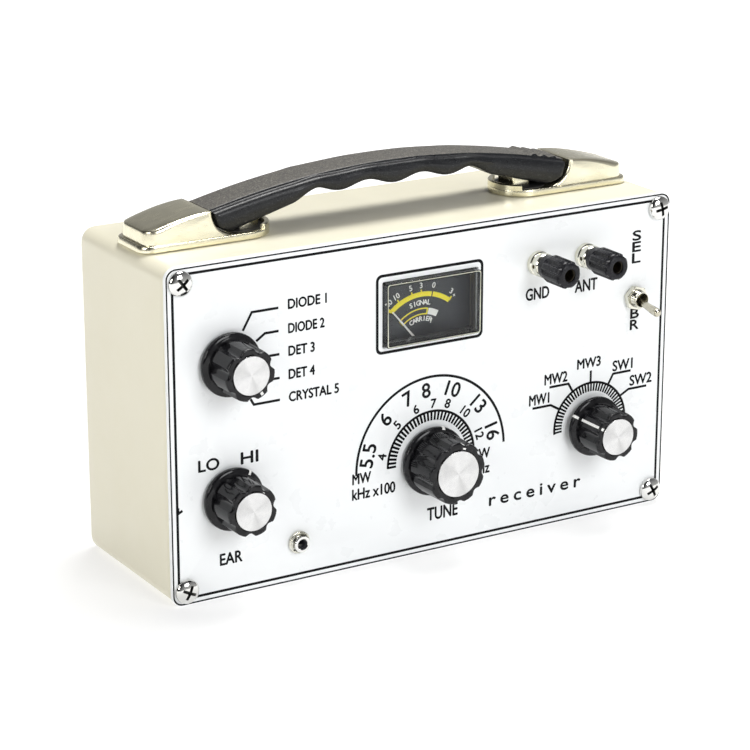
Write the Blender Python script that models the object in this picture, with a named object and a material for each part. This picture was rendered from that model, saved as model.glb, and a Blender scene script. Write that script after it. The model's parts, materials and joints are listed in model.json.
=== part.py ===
"""Portable crystal radio set: a sheet-steel case with a printed front panel, a
strap handle on two plated end brackets, three rotary switches, an air variable
tuning capacitor, a level meter, a toggle switch, an earphone jack and two
binding posts. Metres, +Z up, front towards -Y, origin on the ground under the
middle of the bounding box."""

import math

import bmesh
import bpy
from mathutils import Matrix, Vector

for old in list(bpy.data.objects):
    bpy.data.objects.remove(old, do_unlink=True)

MM = 0.001
GAP = 0.3  # running and assembly clearance, mm

# ---------------------------------------------------------------- dimensions
# All in millimetres. Drawing axes: x to the right and z up on the panel face
# from its centre, y into the case from the panel's front face.
PANEL_W, PANEL_H, PANEL_T = 200.0, 116.0, 1.6
PANEL_R = 3.8
CASE_D = 66.0
CASE_WALL = 1.2
CASE_R = 5.0
LIP_R = 1.8
FRAME_OPEN_W, FRAME_OPEN_H = 186.0, 102.0
POST_REACH = 20.0

PANEL_FRONT_Y = -(CASE_D - POST_REACH) / 2.0
PANEL_CENTRE_Z = PANEL_H / 2.0

SCREW_X, SCREW_Z = 94.8, 52.8

DIODE_X, DIODE_Z, DIODE_ANGLE = -77.7, 23.4, -60.0
PHONES_X, PHONES_Z, PHONES_ANGLE = -77.5, -23.2, 60.0
TUNE_X, TUNE_Z, TUNE_ANGLE = 0.6, -24.2, 74.5
BAND_X, BAND_Z, BAND_ANGLE = 67.4, -22.9, 150.0

KNOB_SKIRT_R, KNOB_LOBE_R, KNOB_FLUTE, KNOB_CAP_R, KNOB_TALL = 10.9, 9.1, 1.2, 6.6, 15.0
TUNE_SKIRT_R, TUNE_LOBE_R, TUNE_FLUTE, TUNE_CAP_R, TUNE_TALL = 12.3, 11.2, 1.0, 8.15, 16.7
SHAFT_R = 3.0
BUSH_R = 4.5

METER_X, METER_Z, METER_W, METER_H = 0.1, 30.45, 38.2, 23.1
METER_PIVOT_Z = 15.3
METER_PROUD = 2.5
NEEDLE_LEN = 17.6
NEEDLE_REST = 131.0

TOGGLE_X, TOGGLE_Z, TOGGLE_TILT = 85.4, 21.4, 10.0
JACK_X, JACK_Z = -52.2, -44.0
GROUND_X, ANTENNA_X, POST_Z = 43.5, 63.5, 40.0

HANDLE_X = -1.5  # middle of the handle
HANDLE_Y = 29.5
BRACKET_END, BRACKET_W = 97.0, 23.0
ARC_U, ARC_Z, ARC_R = 62.8, 69.3, 8.5
GRIP_TOP, GRIP_DROP = 77.9, 9.0
PIN_U, PIN_Z, PIN_R, HANDLE_LIFT = 54.5, 65.8, 1.2, 2.0


def at(x, y, z):
    """World position in metres of a point given in drawing millimetres."""
    return Vector((x * MM, PANEL_FRONT_Y * MM + y * MM, PANEL_CENTRE_Z * MM + z * MM))


FRONT = (math.pi / 2, 0.0, 0.0)  # local +Z points out of the panel


# ------------------------------------------------------------------- helpers
def material(name, colour, roughness=0.5, metallic=0.0):
    mat = bpy.data.materials.new(name)
    mat.use_nodes = True
    shader = mat.node_tree.nodes["Principled BSDF"]
    shader.inputs["Base Color"].default_value = (*colour, 1.0)
    shader.inputs["Roughness"].default_value = roughness
    shader.inputs["Metallic"].default_value = metallic
    mat.diffuse_color = (*colour, 1.0)
    return mat


def finish(name, bm, mat, location=(0, 0, 0), rotation=(0, 0, 0), angle=35.0, cutter=False):
    """Turns a bmesh in millimetres into a named object in metres."""
    bmesh.ops.scale(bm, vec=(MM, MM, MM), verts=bm.verts)
    bmesh.ops.recalc_face_normals(bm, faces=bm.faces)
    mesh = bpy.data.meshes.new(name)
    bm.to_mesh(mesh)
    bm.free()
    obj = bpy.data.objects.new(name, mesh)
    bpy.context.scene.collection.objects.link(obj)
    obj.location = location
    obj.rotation_euler = rotation
    if cutter:
        obj.hide_render = True
        obj.display_type = "WIRE"
    else:
        mesh.shade_smooth()
        mesh.set_sharp_from_angle(angle=math.radians(angle))
        mesh.materials.append(mat)
    return obj


def bridge(bm, first, second):
    """Quads or triangles between two rings; a ring of one point is a pole."""
    n = max(len(first), len(second))
    for i in range(n):
        j = (i + 1) % n
        a, b = (first[0], first[0]) if len(first) == 1 else (first[i], first[j])
        c, d = (second[0], second[0]) if len(second) == 1 else (second[j], second[i])
        face = []
        for vert in (a, b, c, d):
            if vert not in face:
                face.append(vert)
        if len(face) > 2:
            bm.faces.new(face)


def loft(rings, closed=False):
    """A solid through rings of points. Open ends are capped."""
    bm = bmesh.new()
    made = [[bm.verts.new(p) for p in ring] for ring in rings]
    for first, second in zip(made, made[1:]):
        bridge(bm, first, second)
    if closed:
        bridge(bm, made[-1], made[0])
    else:
        for ring in (made[0], made[-1]):
            if len(ring) > 2:
                bm.faces.new(ring)
    return bm


def lobe_shape(lobes, phase_deg):
    """(angle, share of the flute's depth) round a fluted body: broad lobes
    with narrow scallops between them."""
    steps = ((-0.5, 1.0), (-0.26, 0.0), (0.0, -0.05), (0.26, 0.0))
    pitch = 360.0 / lobes
    return [
        (math.radians(phase_deg + pitch * (k + share)), depth)
        for k in range(lobes)
        for share, depth in steps
    ]


def turned(path, sides=24, around=None, closed=False):
    """A turned body about local Z. path holds (radius, height) or (radius,
    height, flute depth)."""
    around = around or [(2 * math.pi * k / sides, 0.0) for k in range(sides)]
    rings = []
    for step in path:
        r, h = step[0], step[1]
        depth = step[2] if len(step) > 2 else 0.0
        if r < 1e-6:
            rings.append([(0.0, 0.0, h)])
        else:
            rings.append(
                [((r - depth * d) * math.cos(a), (r - depth * d) * math.sin(a), h) for a, d in around]
            )
    return loft(rings, closed)


def prism(points, low, high, axis="Z"):
    """An outline extruded along an axis from low to high."""
    place = {
        "Z": lambda a, b, c: (a, b, c),
        "Y": lambda a, b, c: (a, c, b),
        "X": lambda a, b, c: (c, a, b),
    }[axis]
    return loft([[place(a, b, low) for a, b in points], [place(a, b, high) for a, b in points]])


def rounded_rect(w, h, r, steps=4, cx=0.0, cy=0.0):
    points = []
    for sx, sy, start in ((1, 1, 0), (-1, 1, 90), (-1, -1, 180), (1, -1, 270)):
        for k in range(steps + 1):
            a = math.radians(start + 90.0 * k / steps)
            points.append(
                (cx + sx * (w / 2 - r) + r * math.cos(a), cy + sy * (h / 2 - r) + r * math.sin(a))
            )
    return points


def box(x0, x1, y0, y1, z0, z1):
    bm = bmesh.new()
    bmesh.ops.create_cube(bm, size=1.0)
    for v in bm.verts:
        v.co = (
            x0 if v.co.x < 0 else x1,
            y0 if v.co.y < 0 else y1,
            z0 if v.co.z < 0 else z1,
        )
    return bm


def merged(*parts):
    """Several bmeshes as one, for a cutter or for pieces that a union joins."""
    whole = bmesh.new()
    for bm in parts:
        mesh = bpy.data.meshes.new("temp")
        bm.to_mesh(mesh)
        bm.free()
        whole.from_mesh(mesh)
        bpy.data.meshes.remove(mesh)
    return whole


def moved(bm, x=0.0, y=0.0, z=0.0, turn=None):
    if turn is not None:
        bmesh.ops.rotate(bm, cent=(0, 0, 0), matrix=turn, verts=bm.verts)
    bmesh.ops.translate(bm, vec=(x, y, z), verts=bm.verts)
    return bm


def combine(obj, other, operation="DIFFERENCE"):
    mod = obj.modifiers.new(operation.title(), "BOOLEAN")
    mod.operation = operation
    mod.object = other
    mod.solver = "EXACT"
    return mod


def cylinder_y(r, y0, y1, x, z, sides=24):
    """A cylinder along the drawing's y."""
    bm = turned([(0, 0), (r, 0), (r, y1 - y0), (0, y1 - y0)], sides)
    return moved(bm, x, y0, z, Matrix.Rotation(-math.pi / 2, 3, "X"))


def cylinder_z(r, z0, z1, x, y, sides=16):
    return moved(turned([(0, z0), (r, z0), (r, z1), (0, z1)], sides), x, y, 0.0)


# ----------------------------------------------------------------- materials
CREAM = material("cream_paint", (0.80, 0.78, 0.66), 0.42)
WHITE = material("panel_white", (0.90, 0.93, 0.93), 0.35)
CHROME = material("bright_chrome", (0.80, 0.80, 0.79), 0.15, 1.0)
NICKEL = material("nickel_plate", (0.66, 0.63, 0.52), 0.28, 1.0)
GRIP_BLACK = material("grip_black", (0.035, 0.035, 0.038), 0.5)
SPRING_STEEL = material("spring_steel", (0.45, 0.45, 0.46), 0.35, 1.0)
KNOB_BLACK = material("knob_black", (0.012, 0.012, 0.014), 0.18)
SPUN_ALUMINIUM = material("spun_aluminium", (0.88, 0.88, 0.87), 0.25, 1.0)
STEEL = material("zinc_steel", (0.62, 0.62, 0.60), 0.3, 1.0)
BRASS = material("brass", (0.72, 0.55, 0.25), 0.3, 1.0)
SWITCH_PLASTIC = material("switch_plastic", (0.03, 0.03, 0.035), 0.5)
CLEAR = material("clear_window", (0.80, 0.83, 0.85), 0.05)
DIAL_BLUE = material("dial_plate", (0.03, 0.035, 0.045), 0.5)
NEEDLE_WHITE = material("needle_white", (0.85, 0.85, 0.80), 0.4)
HOUSING = material("meter_housing", (0.02, 0.02, 0.02), 0.5)
COLLAR = material("post_collar", (0.72, 0.72, 0.68), 0.3)
ALUMINIUM_PLATE = material("plate_aluminium", (0.72, 0.73, 0.74), 0.4, 1.0)
FERRITE = material("ferrite", (0.06, 0.055, 0.055), 0.6)
LITZ = material("litz_winding", (0.42, 0.20, 0.08), 0.55)
HOLDER = material("rod_holder", (0.62, 0.60, 0.55), 0.5)
CORE_IRON = material("transformer_core", (0.16, 0.15, 0.15), 0.55, 0.6)
BOARD = material("board_laminate", (0.50, 0.32, 0.14), 0.6)

# ----------------------------------------------------------------- the case
# Five-sided pressing: rounded long and rear edges, and a rolled front edge
# that turns in to a flange for the panel.
case_front = PANEL_T + GAP
sections = [
    (PANEL_W - 2 * LIP_R * 0.75, PANEL_H - 2 * LIP_R * 0.75, case_front, PANEL_R),
    (PANEL_W - LIP_R * 0.45, PANEL_H - LIP_R * 0.45, case_front + LIP_R * 0.35, PANEL_R + 0.6),
    (PANEL_W, PANEL_H, case_front + LIP_R, CASE_R),
    (PANEL_W, PANEL_H, CASE_D - CASE_R, CASE_R),
    (PANEL_W - 2 * 0.67, PANEL_H - 2 * 0.67, CASE_D - CASE_R * 0.5, CASE_R),
    (PANEL_W - 2 * 2.5, PANEL_H - 2 * 2.5, CASE_D - 0.67, CASE_R - 1.2),
    (PANEL_W - 2 * CASE_R, PANEL_H - 2 * CASE_R, CASE_D, CASE_R - 2.2),
]
bm = loft([[(x, y, z) for x, z in rounded_rect(w, h, r, 4)] for w, h, y, r in sections])
case_shell = finish("case_shell", bm, CREAM, at(0, 0, 0))

inner = [
    (PANEL_W - 2 * CASE_WALL, PANEL_H - 2 * CASE_WALL, case_front + LIP_R, CASE_R - CASE_WALL),
    (PANEL_W - 2 * CASE_WALL, PANEL_H - 2 * CASE_WALL, CASE_D - CASE_R, CASE_R - CASE_WALL),
    (PANEL_W - 2 * 3.4, PANEL_H - 2 * 3.4, CASE_D - 2.0, CASE_R - 2.0),
    (PANEL_W - 2 * CASE_R, PANEL_H - 2 * CASE_R, CASE_D - CASE_WALL, CASE_R - 2.6),
]
hollow = loft([[(x, y, z) for x, z in rounded_rect(w, h, r, 2)] for w, h, y, r in inner])
finish("cut_case_hollow", hollow, None, at(0, 0, 0), cutter=True)
combine(case_shell, bpy.data.objects["cut_case_hollow"])

mouth_w, mouth_h, corner = FRAME_OPEN_W / 2, FRAME_OPEN_H / 2, 7.0
mouth = [
    (mouth_w, -mouth_h + corner), (mouth_w, mouth_h - corner), (mouth_w - corner, mouth_h),
    (-mouth_w + corner, mouth_h), (-mouth_w, mouth_h - corner), (-mouth_w, -mouth_h + corner),
    (-mouth_w + corner, -mouth_h), (mouth_w - corner, -mouth_h),
]
cuts = [prism(mouth, -2.0, 8.0, "Y")]
for sx in (-1, 1):
    for sz in (-1, 1):
        cuts.append(cylinder_y(1.9, -2.0, 8.0, sx * SCREW_X, sz * SCREW_Z, 8))
finish("cut_case_mouth", merged(*cuts), None, at(0, 0, 0), cutter=True)
combine(case_shell, bpy.data.objects["cut_case_mouth"])

bolt_u = (75.0, 89.0)
cuts = [
    cylinder_z(1.8, 50.0, 60.0, HANDLE_X + side * u, HANDLE_Y, 12) for side in (-1, 1) for u in bolt_u
]
finish("cut_case_bolts", merged(*cuts), None, at(0, 0, 0), cutter=True)
combine(case_shell, bpy.data.objects["cut_case_bolts"])

# ---------------------------------------------------------------- the panel
bm = prism(rounded_rect(PANEL_W, PANEL_H, PANEL_R, 5), 0.0, PANEL_T, "Y")
front_panel = finish("front_panel", bm, WHITE, at(0, 0, 0))
cuts = [
    cylinder_y(BUSH_R + GAP, -2, 4, x, z, 16)
    for x, z in ((DIODE_X, DIODE_Z), (PHONES_X, PHONES_Z), (TUNE_X, TUNE_Z), (BAND_X, BAND_Z))
]
for sx in (-1, 1):
    for sz in (-1, 1):
        cuts.append(cylinder_y(1.9, -2, 4, sx * SCREW_X, sz * SCREW_Z, 8))
cuts += [cylinder_y(3.3, -2, 4, x, z, 14) for x, z in ((JACK_X, JACK_Z), (TOGGLE_X, TOGGLE_Z))]
cuts += [cylinder_y(2.5, -2, 4, x, POST_Z, 12) for x in (GROUND_X, ANTENNA_X)]
cuts.append(prism(rounded_rect(METER_W, METER_H, 0.6, 2, METER_X, METER_Z), -2, 4, "Y"))
finish("cut_panel", merged(*cuts), None, at(0, 0, 0), cutter=True)
combine(front_panel, bpy.data.objects["cut_panel"])

# Pan-head machine screws with a cross recess, one in each corner.
for index, (sx, sz) in enumerate(((-1, 1), (1, 1), (-1, -1), (1, -1)), 1):
    path = [(0, -9.0), (1.6, -9.0), (1.6, GAP), (4.25, GAP), (4.25, 1.0), (3.5, 2.1), (2.0, 2.7), (0, 2.8)]
    screw = finish(f"panel_screw_{index}", turned(path, 16), CHROME, at(sx * SCREW_X, 0, sz * SCREW_Z), FRONT)
    arm, half = 2.3, 0.4
    plus = [
        (arm, -half), (arm, half), (half, half), (half, arm), (-half, arm), (-half, half),
        (-arm, half), (-arm, -half), (-half, -half), (-half, -arm), (half, -arm), (half, -half),
    ]
    cross = prism(plus, 1.3, 4.0)
    finish(f"cut_screw_{index}", cross, None, at(sx * SCREW_X, 0, sz * SCREW_Z), FRONT, cutter=True)
    combine(screw, bpy.data.objects[f"cut_screw_{index}"])


# ------------------------------------------------------------ rotary controls
def knob(name, x, z, phase, lobes, skirt_r, lobe_r, flute, cap_r, tall, foot):
    """A fluted knob on a skirt, with a turned aluminium disc let into its end."""
    top = foot + tall
    face = top - 0.4
    path = [
        (0, face - 3.2), (SHAFT_R + GAP, face - 3.2), (SHAFT_R + GAP, foot + 3.6), (8.0, foot + 3.6),
        (8.0, foot), (skirt_r, foot), (skirt_r, foot + 1.8),
        (skirt_r - 0.4, foot + 2.2), (lobe_r, foot + 2.5, flute),
        (lobe_r - 0.2, face - 0.7, flute), (lobe_r - 0.7, face, flute), (cap_r + GAP, face),
        (cap_r + GAP, face - 0.9), (0, face - 0.9),
    ]
    finish(name, turned(path, around=lobe_shape(lobes, phase)), KNOB_BLACK, at(x, 0, z), FRONT, 40)
    disc = [(0, face - 0.6), (cap_r, face - 0.6), (cap_r, top - 0.2), (cap_r - 0.3, top), (0, top)]
    finish(name + "_cap", turned(disc, 24), SPUN_ALUMINIUM, at(x, 0, z), FRONT)
    return face - 3.2 - GAP


def rotary_switch(name, x, z, shaft_top, nut_name):
    """Sealed wafer switch: threaded bush through the panel, round body and
    solder tags behind, D-shaft on the knob's side."""
    back = -(PANEL_T + GAP)
    path = [
        (0, back - 15.0), (13.2, back - 15.0), (13.2, back),
        (BUSH_R, back), (BUSH_R, 3.3), (SHAFT_R + GAP, 3.3), (SHAFT_R + GAP, back - 12.0), (0, back - 12.0),
    ]
    body = finish(name + "_body", turned(path, 16), SWITCH_PLASTIC, at(x, 0, z), FRONT)
    tags = []
    for k in range(6):
        tag = box(-0.8, 0.8, -0.3, 0.3, back - 19.0, back - 14.0)
        tags.append(moved(moved(tag, 0, 10.5, 0), turn=Matrix.Rotation(2 * math.pi * k / 6, 3, "Z")))
    finish(f"join_{name}_tags", merged(*tags), None, at(x, 0, z), FRONT, cutter=True)
    combine(body, bpy.data.objects[f"join_{name}_tags"], "UNION")
    shaft = [(0, back - 11.6), (SHAFT_R, back - 11.6), (SHAFT_R, shaft_top), (0, shaft_top)]
    finish(name + "_shaft", turned(shaft, 14), ALUMINIUM_PLATE, at(x, 0, z), FRONT)
    hexagon = [(6.9 * math.cos(math.pi * k / 3), 6.9 * math.sin(math.pi * k / 3)) for k in range(6)]
    bore_r = BUSH_R + GAP
    rings = []
    for r_list, h in ((hexagon, GAP), (hexagon, 2.2)):
        rings.append([(px, py, h) for px, py in r_list])
    nut = finish(nut_name, loft(rings), STEEL, at(x, 0, z), FRONT)
    finish("cut_" + nut_name, turned([(0, -1), (bore_r, -1), (bore_r, 4), (0, 4)], 14), None, at(x, 0, z), FRONT, cutter=True)
    combine(nut, bpy.data.objects["cut_" + nut_name])


small = (KNOB_SKIRT_R, KNOB_LOBE_R, KNOB_FLUTE, KNOB_CAP_R, KNOB_TALL)
reach = knob("diode_knob", DIODE_X, DIODE_Z, DIODE_ANGLE, 7, *small, 1.0)
rotary_switch("diode_switch", DIODE_X, DIODE_Z, reach, "diode_switch_nut")
reach = knob("phones_knob", PHONES_X, PHONES_Z, -20.0, 7, *small, 1.0)
rotary_switch("phones_switch", PHONES_X, PHONES_Z, reach, "phones_switch_nut")
reach = knob("band_knob", BAND_X, BAND_Z, BAND_ANGLE, 7, *small, 2.5)
rotary_switch("band_switch", BAND_X, BAND_Z, reach, "band_switch_nut")

# Tuning: an air variable capacitor behind the panel.
reach = knob(
    "tuning_knob", TUNE_X, TUNE_Z, TUNE_ANGLE + 20.0, 9,
    TUNE_SKIRT_R, TUNE_LOBE_R, TUNE_FLUTE, TUNE_CAP_R, TUNE_TALL, 1.0,
)
shaft = [(0, -37.2), (SHAFT_R, -37.2), (SHAFT_R, reach), (0, reach)]
finish("tuning_shaft", turned(shaft, 14), BRASS, at(TUNE_X, 0, TUNE_Z), FRONT)

side = [
    (3.5, 19.0), (3.5, -19.0), (35.5, -19.0), (35.5, 19.0), (34.0, 19.0), (34.0, -17.5), (5.0, -17.5), (5.0, 19.0),
]
frame = finish("capacitor_frame", prism(side, -20.0, 20.0, "X"), ALUMINIUM_PLATE, at(TUNE_X, 0, TUNE_Z))
bush = [(0, -4.6), (6.5, -4.6), (6.5, -3.0), (BUSH_R, -3.0), (BUSH_R, 3.3), (0, 3.3)]
finish("join_capacitor_bush", turned(bush, 16), None, at(TUNE_X, 0, TUNE_Z), FRONT, cutter=True)
combine(frame, bpy.data.objects["join_capacitor_bush"], "UNION")
finish(
    "cut_capacitor_bore",
    turned([(0, -40), (SHAFT_R + GAP, -40), (SHAFT_R + GAP, 6), (0, 6)], 14),
    None, at(TUNE_X, 0, TUNE_Z), FRONT, cutter=True,
)
combine(frame, bpy.data.objects["cut_capacitor_bore"])

PLATE_PITCH, PLATE_T, PLATES = 4.6, 0.8, 5


def half_disc(r, hub, start, steps=9):
    points = [
        (r * math.cos(math.radians(start + 180.0 * k / steps)), r * math.sin(math.radians(start + 180.0 * k / steps)))
        for k in range(steps + 1)
    ]
    return points + [
        (hub * math.cos(math.radians(start + 180.0 + 60.0 * k)), hub * math.sin(math.radians(start + 180.0 + 60.0 * k)))
        for k in (1, 2)
    ]


rotor_start = TUNE_ANGLE - 180.0
hub = turned([(3.3, -30.6), (4.6, -30.6), (4.6, -8.4), (3.3, -8.4)], 14, closed=True)
rotor = finish("tuning_rotor", hub, ALUMINIUM_PLATE, at(TUNE_X, 0, TUNE_Z), FRONT)
vanes = [
    prism(half_disc(16.0, 4.2, rotor_start), -(9.5 + PLATE_PITCH * k) - PLATE_T, -(9.5 + PLATE_PITCH * k))
    for k in range(PLATES)
]
finish("join_rotor_vanes", merged(*vanes), None, at(TUNE_X, 0, TUNE_Z), FRONT, cutter=True)
combine(rotor, bpy.data.objects["join_rotor_vanes"], "UNION")
bore = turned([(0, -40), (SHAFT_R + GAP, -40), (SHAFT_R + GAP, 0), (0, 0)], 14)
finish("cut_rotor_bore", bore, None, at(TUNE_X, 0, TUNE_Z), FRONT, cutter=True)
combine(rotor, bpy.data.objects["cut_rotor_bore"])

rod_first = moved(turned([(0, -33.4), (1.5, -33.4), (1.5, -5.6), (0, -5.6)], 8), 15.2, 15.2, 0)
stator = finish("tuning_stator", rod_first, ALUMINIUM_PLATE, at(TUNE_X, 0, TUNE_Z), FRONT)
scallop = [(6.6 * math.cos(math.radians(180 - 36 * k)), 1.0 + 6.0 * math.sin(math.radians(180 - 36 * k))) for k in range(6)]
outline = [(-17.4, 1.0)] + scallop + [(17.4, 1.0), (17.4, 17.4), (-17.4, 17.4)]
fins = [
    prism(outline, -(9.5 + PLATE_PITCH * (k + 0.5)) - PLATE_T, -(9.5 + PLATE_PITCH * (k + 0.5)))
    for k in range(PLATES - 1)
]
fins.append(moved(turned([(0, -33.4), (1.5, -33.4), (1.5, -5.6), (0, -5.6)], 8), -15.2, 15.2, 0))
finish("join_stator_fins", merged(*fins[:-1]), None, at(TUNE_X, 0, TUNE_Z), FRONT, cutter=True)
finish("join_stator_rod", fins[-1], None, at(TUNE_X, 0, TUNE_Z), FRONT, cutter=True)
combine(stator, bpy.data.objects["join_stator_fins"], "UNION")
combine(stator, bpy.data.objects["join_stator_rod"], "UNION")

# ------------------------------------------------------------------ the meter
# Clear front cover stepped through the panel, dial plate, pointer on a pivot
# below the opening, and a black case with the magnet behind.
case_lo, case_hi, case_half = 5.0, 43.5, 21.0
back_of_cover = 8.0
stub_w, stub_h = METER_W - 2 * GAP, METER_H - 2 * GAP
cover = finish(
    "meter_window",
    prism(rounded_rect(stub_w, stub_h, 0.8, 2, METER_X, METER_Z), -METER_PROUD, PANEL_T + 1.0, "Y"),
    CLEAR, at(0, 0, 0),
)
skirt = prism(
    [(METER_X - case_half, case_lo), (METER_X + case_half, case_lo), (METER_X + case_half, case_hi), (METER_X - case_half, case_hi)],
    PANEL_T + GAP, back_of_cover, "Y",
)
finish("join_meter_skirt", skirt, None, at(0, 0, 0), cutter=True)
combine(cover, bpy.data.objects["join_meter_skirt"], "UNION")
cuts = merged(
    box(METER_X - stub_w / 2 + 1.2, METER_X + stub_w / 2 - 1.2, -METER_PROUD + 1.3, 5.0, METER_Z - stub_h / 2 + 1.2, METER_Z + stub_h / 2 - 1.2),
)
finish("cut_meter_stub", cuts, None, at(0, 0, 0), cutter=True)
combine(cover, bpy.data.objects["cut_meter_stub"])
cuts = box(METER_X - case_half + 1.2, METER_X + case_half - 1.2, PANEL_T + GAP + 1.2, 12.0, case_lo + 1.2, case_hi - 1.2)
finish("cut_meter_skirt", cuts, None, at(0, 0, 0), cutter=True)
combine(cover, bpy.data.objects["cut_meter_skirt"])

dial = finish(
    "meter_dial", box(METER_X - 19.4, METER_X + 19.4, 6.3, 6.8, case_lo + 1.6, case_hi - 1.6), DIAL_BLUE, at(0, 0, 0)
)
finish("cut_dial_pivot", cylinder_y(2.2, 5, 9, METER_X, METER_PIVOT_Z, 16), None, at(0, 0, 0), cutter=True)
combine(dial, bpy.data.objects["cut_dial_pivot"])

# Pointer: modelled along local X, hub on the pivot, turned to its rest angle.
blade = [(-4.0, -0.5), (0.0, -0.6), (NEEDLE_LEN - 1.0, -0.2), (NEEDLE_LEN, -0.12), (NEEDLE_LEN, 0.12), (NEEDLE_LEN - 1.0, 0.2), (0.0, 0.6), (-4.0, 0.5)]
needle = finish("meter_needle", prism(blade, -5.3, -4.7), NEEDLE_WHITE, at(METER_X, 0, METER_PIVOT_Z), FRONT)
needle.rotation_euler = (Matrix.Rotation(math.pi / 2, 3, "X") @ Matrix.Rotation(math.radians(NEEDLE_REST), 3, "Z")).to_euler()
hub = turned([(0, -13.0), (1.6, -13.0), (1.6, -4.2), (0, -4.2)], 14)
finish("join_needle_hub", hub, None, at(METER_X, 0, METER_PIVOT_Z), FRONT, cutter=True)
combine(needle, bpy.data.objects["join_needle_hub"], "UNION")

housing = finish(
    "meter_housing",
    box(METER_X - case_half, METER_X + case_half, back_of_cover + GAP, 25.0, case_lo, case_hi),
    HOUSING, at(0, 0, 0),
)
finish("cut_housing_bore", cylinder_y(2.0, 7.0, 15.0, METER_X, METER_PIVOT_Z, 14), None, at(0, 0, 0), cutter=True)
combine(housing, bpy.data.objects["cut_housing_bore"])

# --------------------------------------------------------- toggle switch, jack
back = -(PANEL_T + GAP)
path = [
    (0, back - 3.0), (4.0, back - 3.0), (4.0, back), (2.95, back), (2.95, 5.0), (2.5, 5.0), (1.9, 1.0), (2.4, -1.0), (2.4, back - 1.2), (0, back - 1.2),
]
toggle = finish("toggle_body", turned(path, 14), STEEL, at(TOGGLE_X, 0, TOGGLE_Z), FRONT)
tags = [box(-0.7, 0.7, dz - 0.5, dz + 0.5, back - 15.0, back - 10.0) for dz in (-4.5, 0.0, 4.5)]
finish(
    "join_toggle_case",
    box(-4.0, 4.0, -6.5, 6.5, back - 11.5, back - 2.0), None, at(TOGGLE_X, 0, TOGGLE_Z), FRONT, cutter=True,
)
combine(toggle, bpy.data.objects["join_toggle_case"], "UNION")
finish("join_toggle_tags", merged(*tags), None, at(TOGGLE_X, 0, TOGGLE_Z), FRONT, cutter=True)
combine(toggle, bpy.data.objects["join_toggle_tags"], "UNION")


def round_nut(name, x, z, across, bore, low, high, sides, mat):
    points = [(across / 2 * math.cos(2 * math.pi * k / sides + 0.26), across / 2 * math.sin(2 * math.pi * k / sides + 0.26)) for k in range(sides)]
    nut = finish(name, prism(points, low, high), mat, at(x, 0, z), FRONT)
    finish("cut_" + name, turned([(0, low - 1), (bore, low - 1), (bore, high + 1), (0, high + 1)], 14), None, at(x, 0, z), FRONT, cutter=True)
    combine(nut, bpy.data.objects["cut_" + name])
    return nut


round_nut("toggle_nut", TOGGLE_X, TOGGLE_Z, 9.2, 3.3, GAP, 2.2, 6, STEEL)
lever = [(0, -1.3), (1.2, -1.2), (1.5, -0.3), (1.3, 0.8), (1.0, 2.2), (1.15, 5.0), (1.5, 11.5), (1.55, 13.6), (1.1, 14.8), (0, 15.1)]
arm = finish("toggle_lever", turned(lever, 12), CHROME, at(TOGGLE_X, 0, TOGGLE_Z), FRONT)
arm.rotation_euler = (math.pi / 2 + math.radians(TOGGLE_TILT), 0, 0)

path = [
    (0, back - 14.0), (4.8, back - 14.0), (5.2, back - 13.4), (5.2, back), (3.0, back), (3.0, 3.0), (2.7, 3.2), (1.8, 3.2), (1.8, back - 12.0), (0, back - 12.0),
]
finish("phone_jack_body", turned(path, 16), NICKEL, at(JACK_X, 0, JACK_Z), FRONT)
round_nut("phone_jack_nut", JACK_X, JACK_Z, 8.0, 3.3, GAP, 2.0, 16, NICKEL)

# ---------------------------------------------------------------- binding posts
for name, x in (("ground", GROUND_X), ("antenna", ANTENNA_X)):
    path = [(2.5, GAP), (4.4, GAP), (4.4, 4.6), (3.9, 5.9), (2.5, 5.9)]
    finish(name + "_post_collar", turned(path, 16, closed=True), COLLAR, at(x, 0, POST_Z), FRONT)
    stud = [(0, -12.0), (2.2, -12.0), (2.2, 11.0), (0, 11.0)]
    finish(name + "_post_stud", turned(stud, 12), BRASS, at(x, 0, POST_Z), FRONT)
    sleeve = [(2.5, 6.8), (3.4, 6.8), (3.4, 19.0), (2.1, 19.0), (2.1, 11.8), (2.5, 11.8)]
    finish(name + "_post_insert", turned(sleeve, 12, closed=True), BRASS, at(x, 0, POST_Z), FRONT)
    steps = 8
    around = [
        (2 * math.pi * (k + s) / steps, d) for k in range(steps) for s, d in ((0.0, 0.0), (0.4, 0.0), (0.7, 1.0))
    ]
    cap = [
        (3.7, 6.3), (4.2, 6.3), (4.3, 9.0), (4.9, 9.2, 0.45), (4.9, 18.6, 0.45), (4.3, 20.0), (2.2, 20.0), (2.2, 19.3), (3.7, 19.3),
    ]
    finish(name + "_post_cap", turned(cap, around=around, closed=True), KNOB_BLACK, at(x, 0, POST_Z), FRONT)

# ------------------------------------------------------------------- the handle


def grip_top(u):
    return GRIP_TOP - GRIP_DROP * (u / 72.0) ** 2


def grip_bottom(u):
    """Underside: straight run out to the ends, four finger hollows between."""
    a = abs(u)
    ends = 61.3 + (62.8 - a) * 0.27 if a > 34.0 else 61.3 + 28.8 * 0.27
    if a > 40.0:
        return ends
    middle = 70.9 + 1.15 * math.cos(2 * math.pi * (u - 10.75) / 21.5)
    if a < 28.0:
        return middle
    share = (a - 28.0) / 12.0
    share = share * share * (3 - 2 * share)
    edge = 61.3 + (62.8 - a) * 0.27
    return (1 - share) * (70.9 + 1.15 * math.cos(2 * math.pi * (min(a, 32.25) - 10.75) / 21.5)) + share * edge


SECTION = (
    (0.0, 1.0), (7.6, 0.94), (9.9, 0.82), (10.5, 0.55), (9.6, 0.13), (8.0, 0.0),
)


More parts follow.
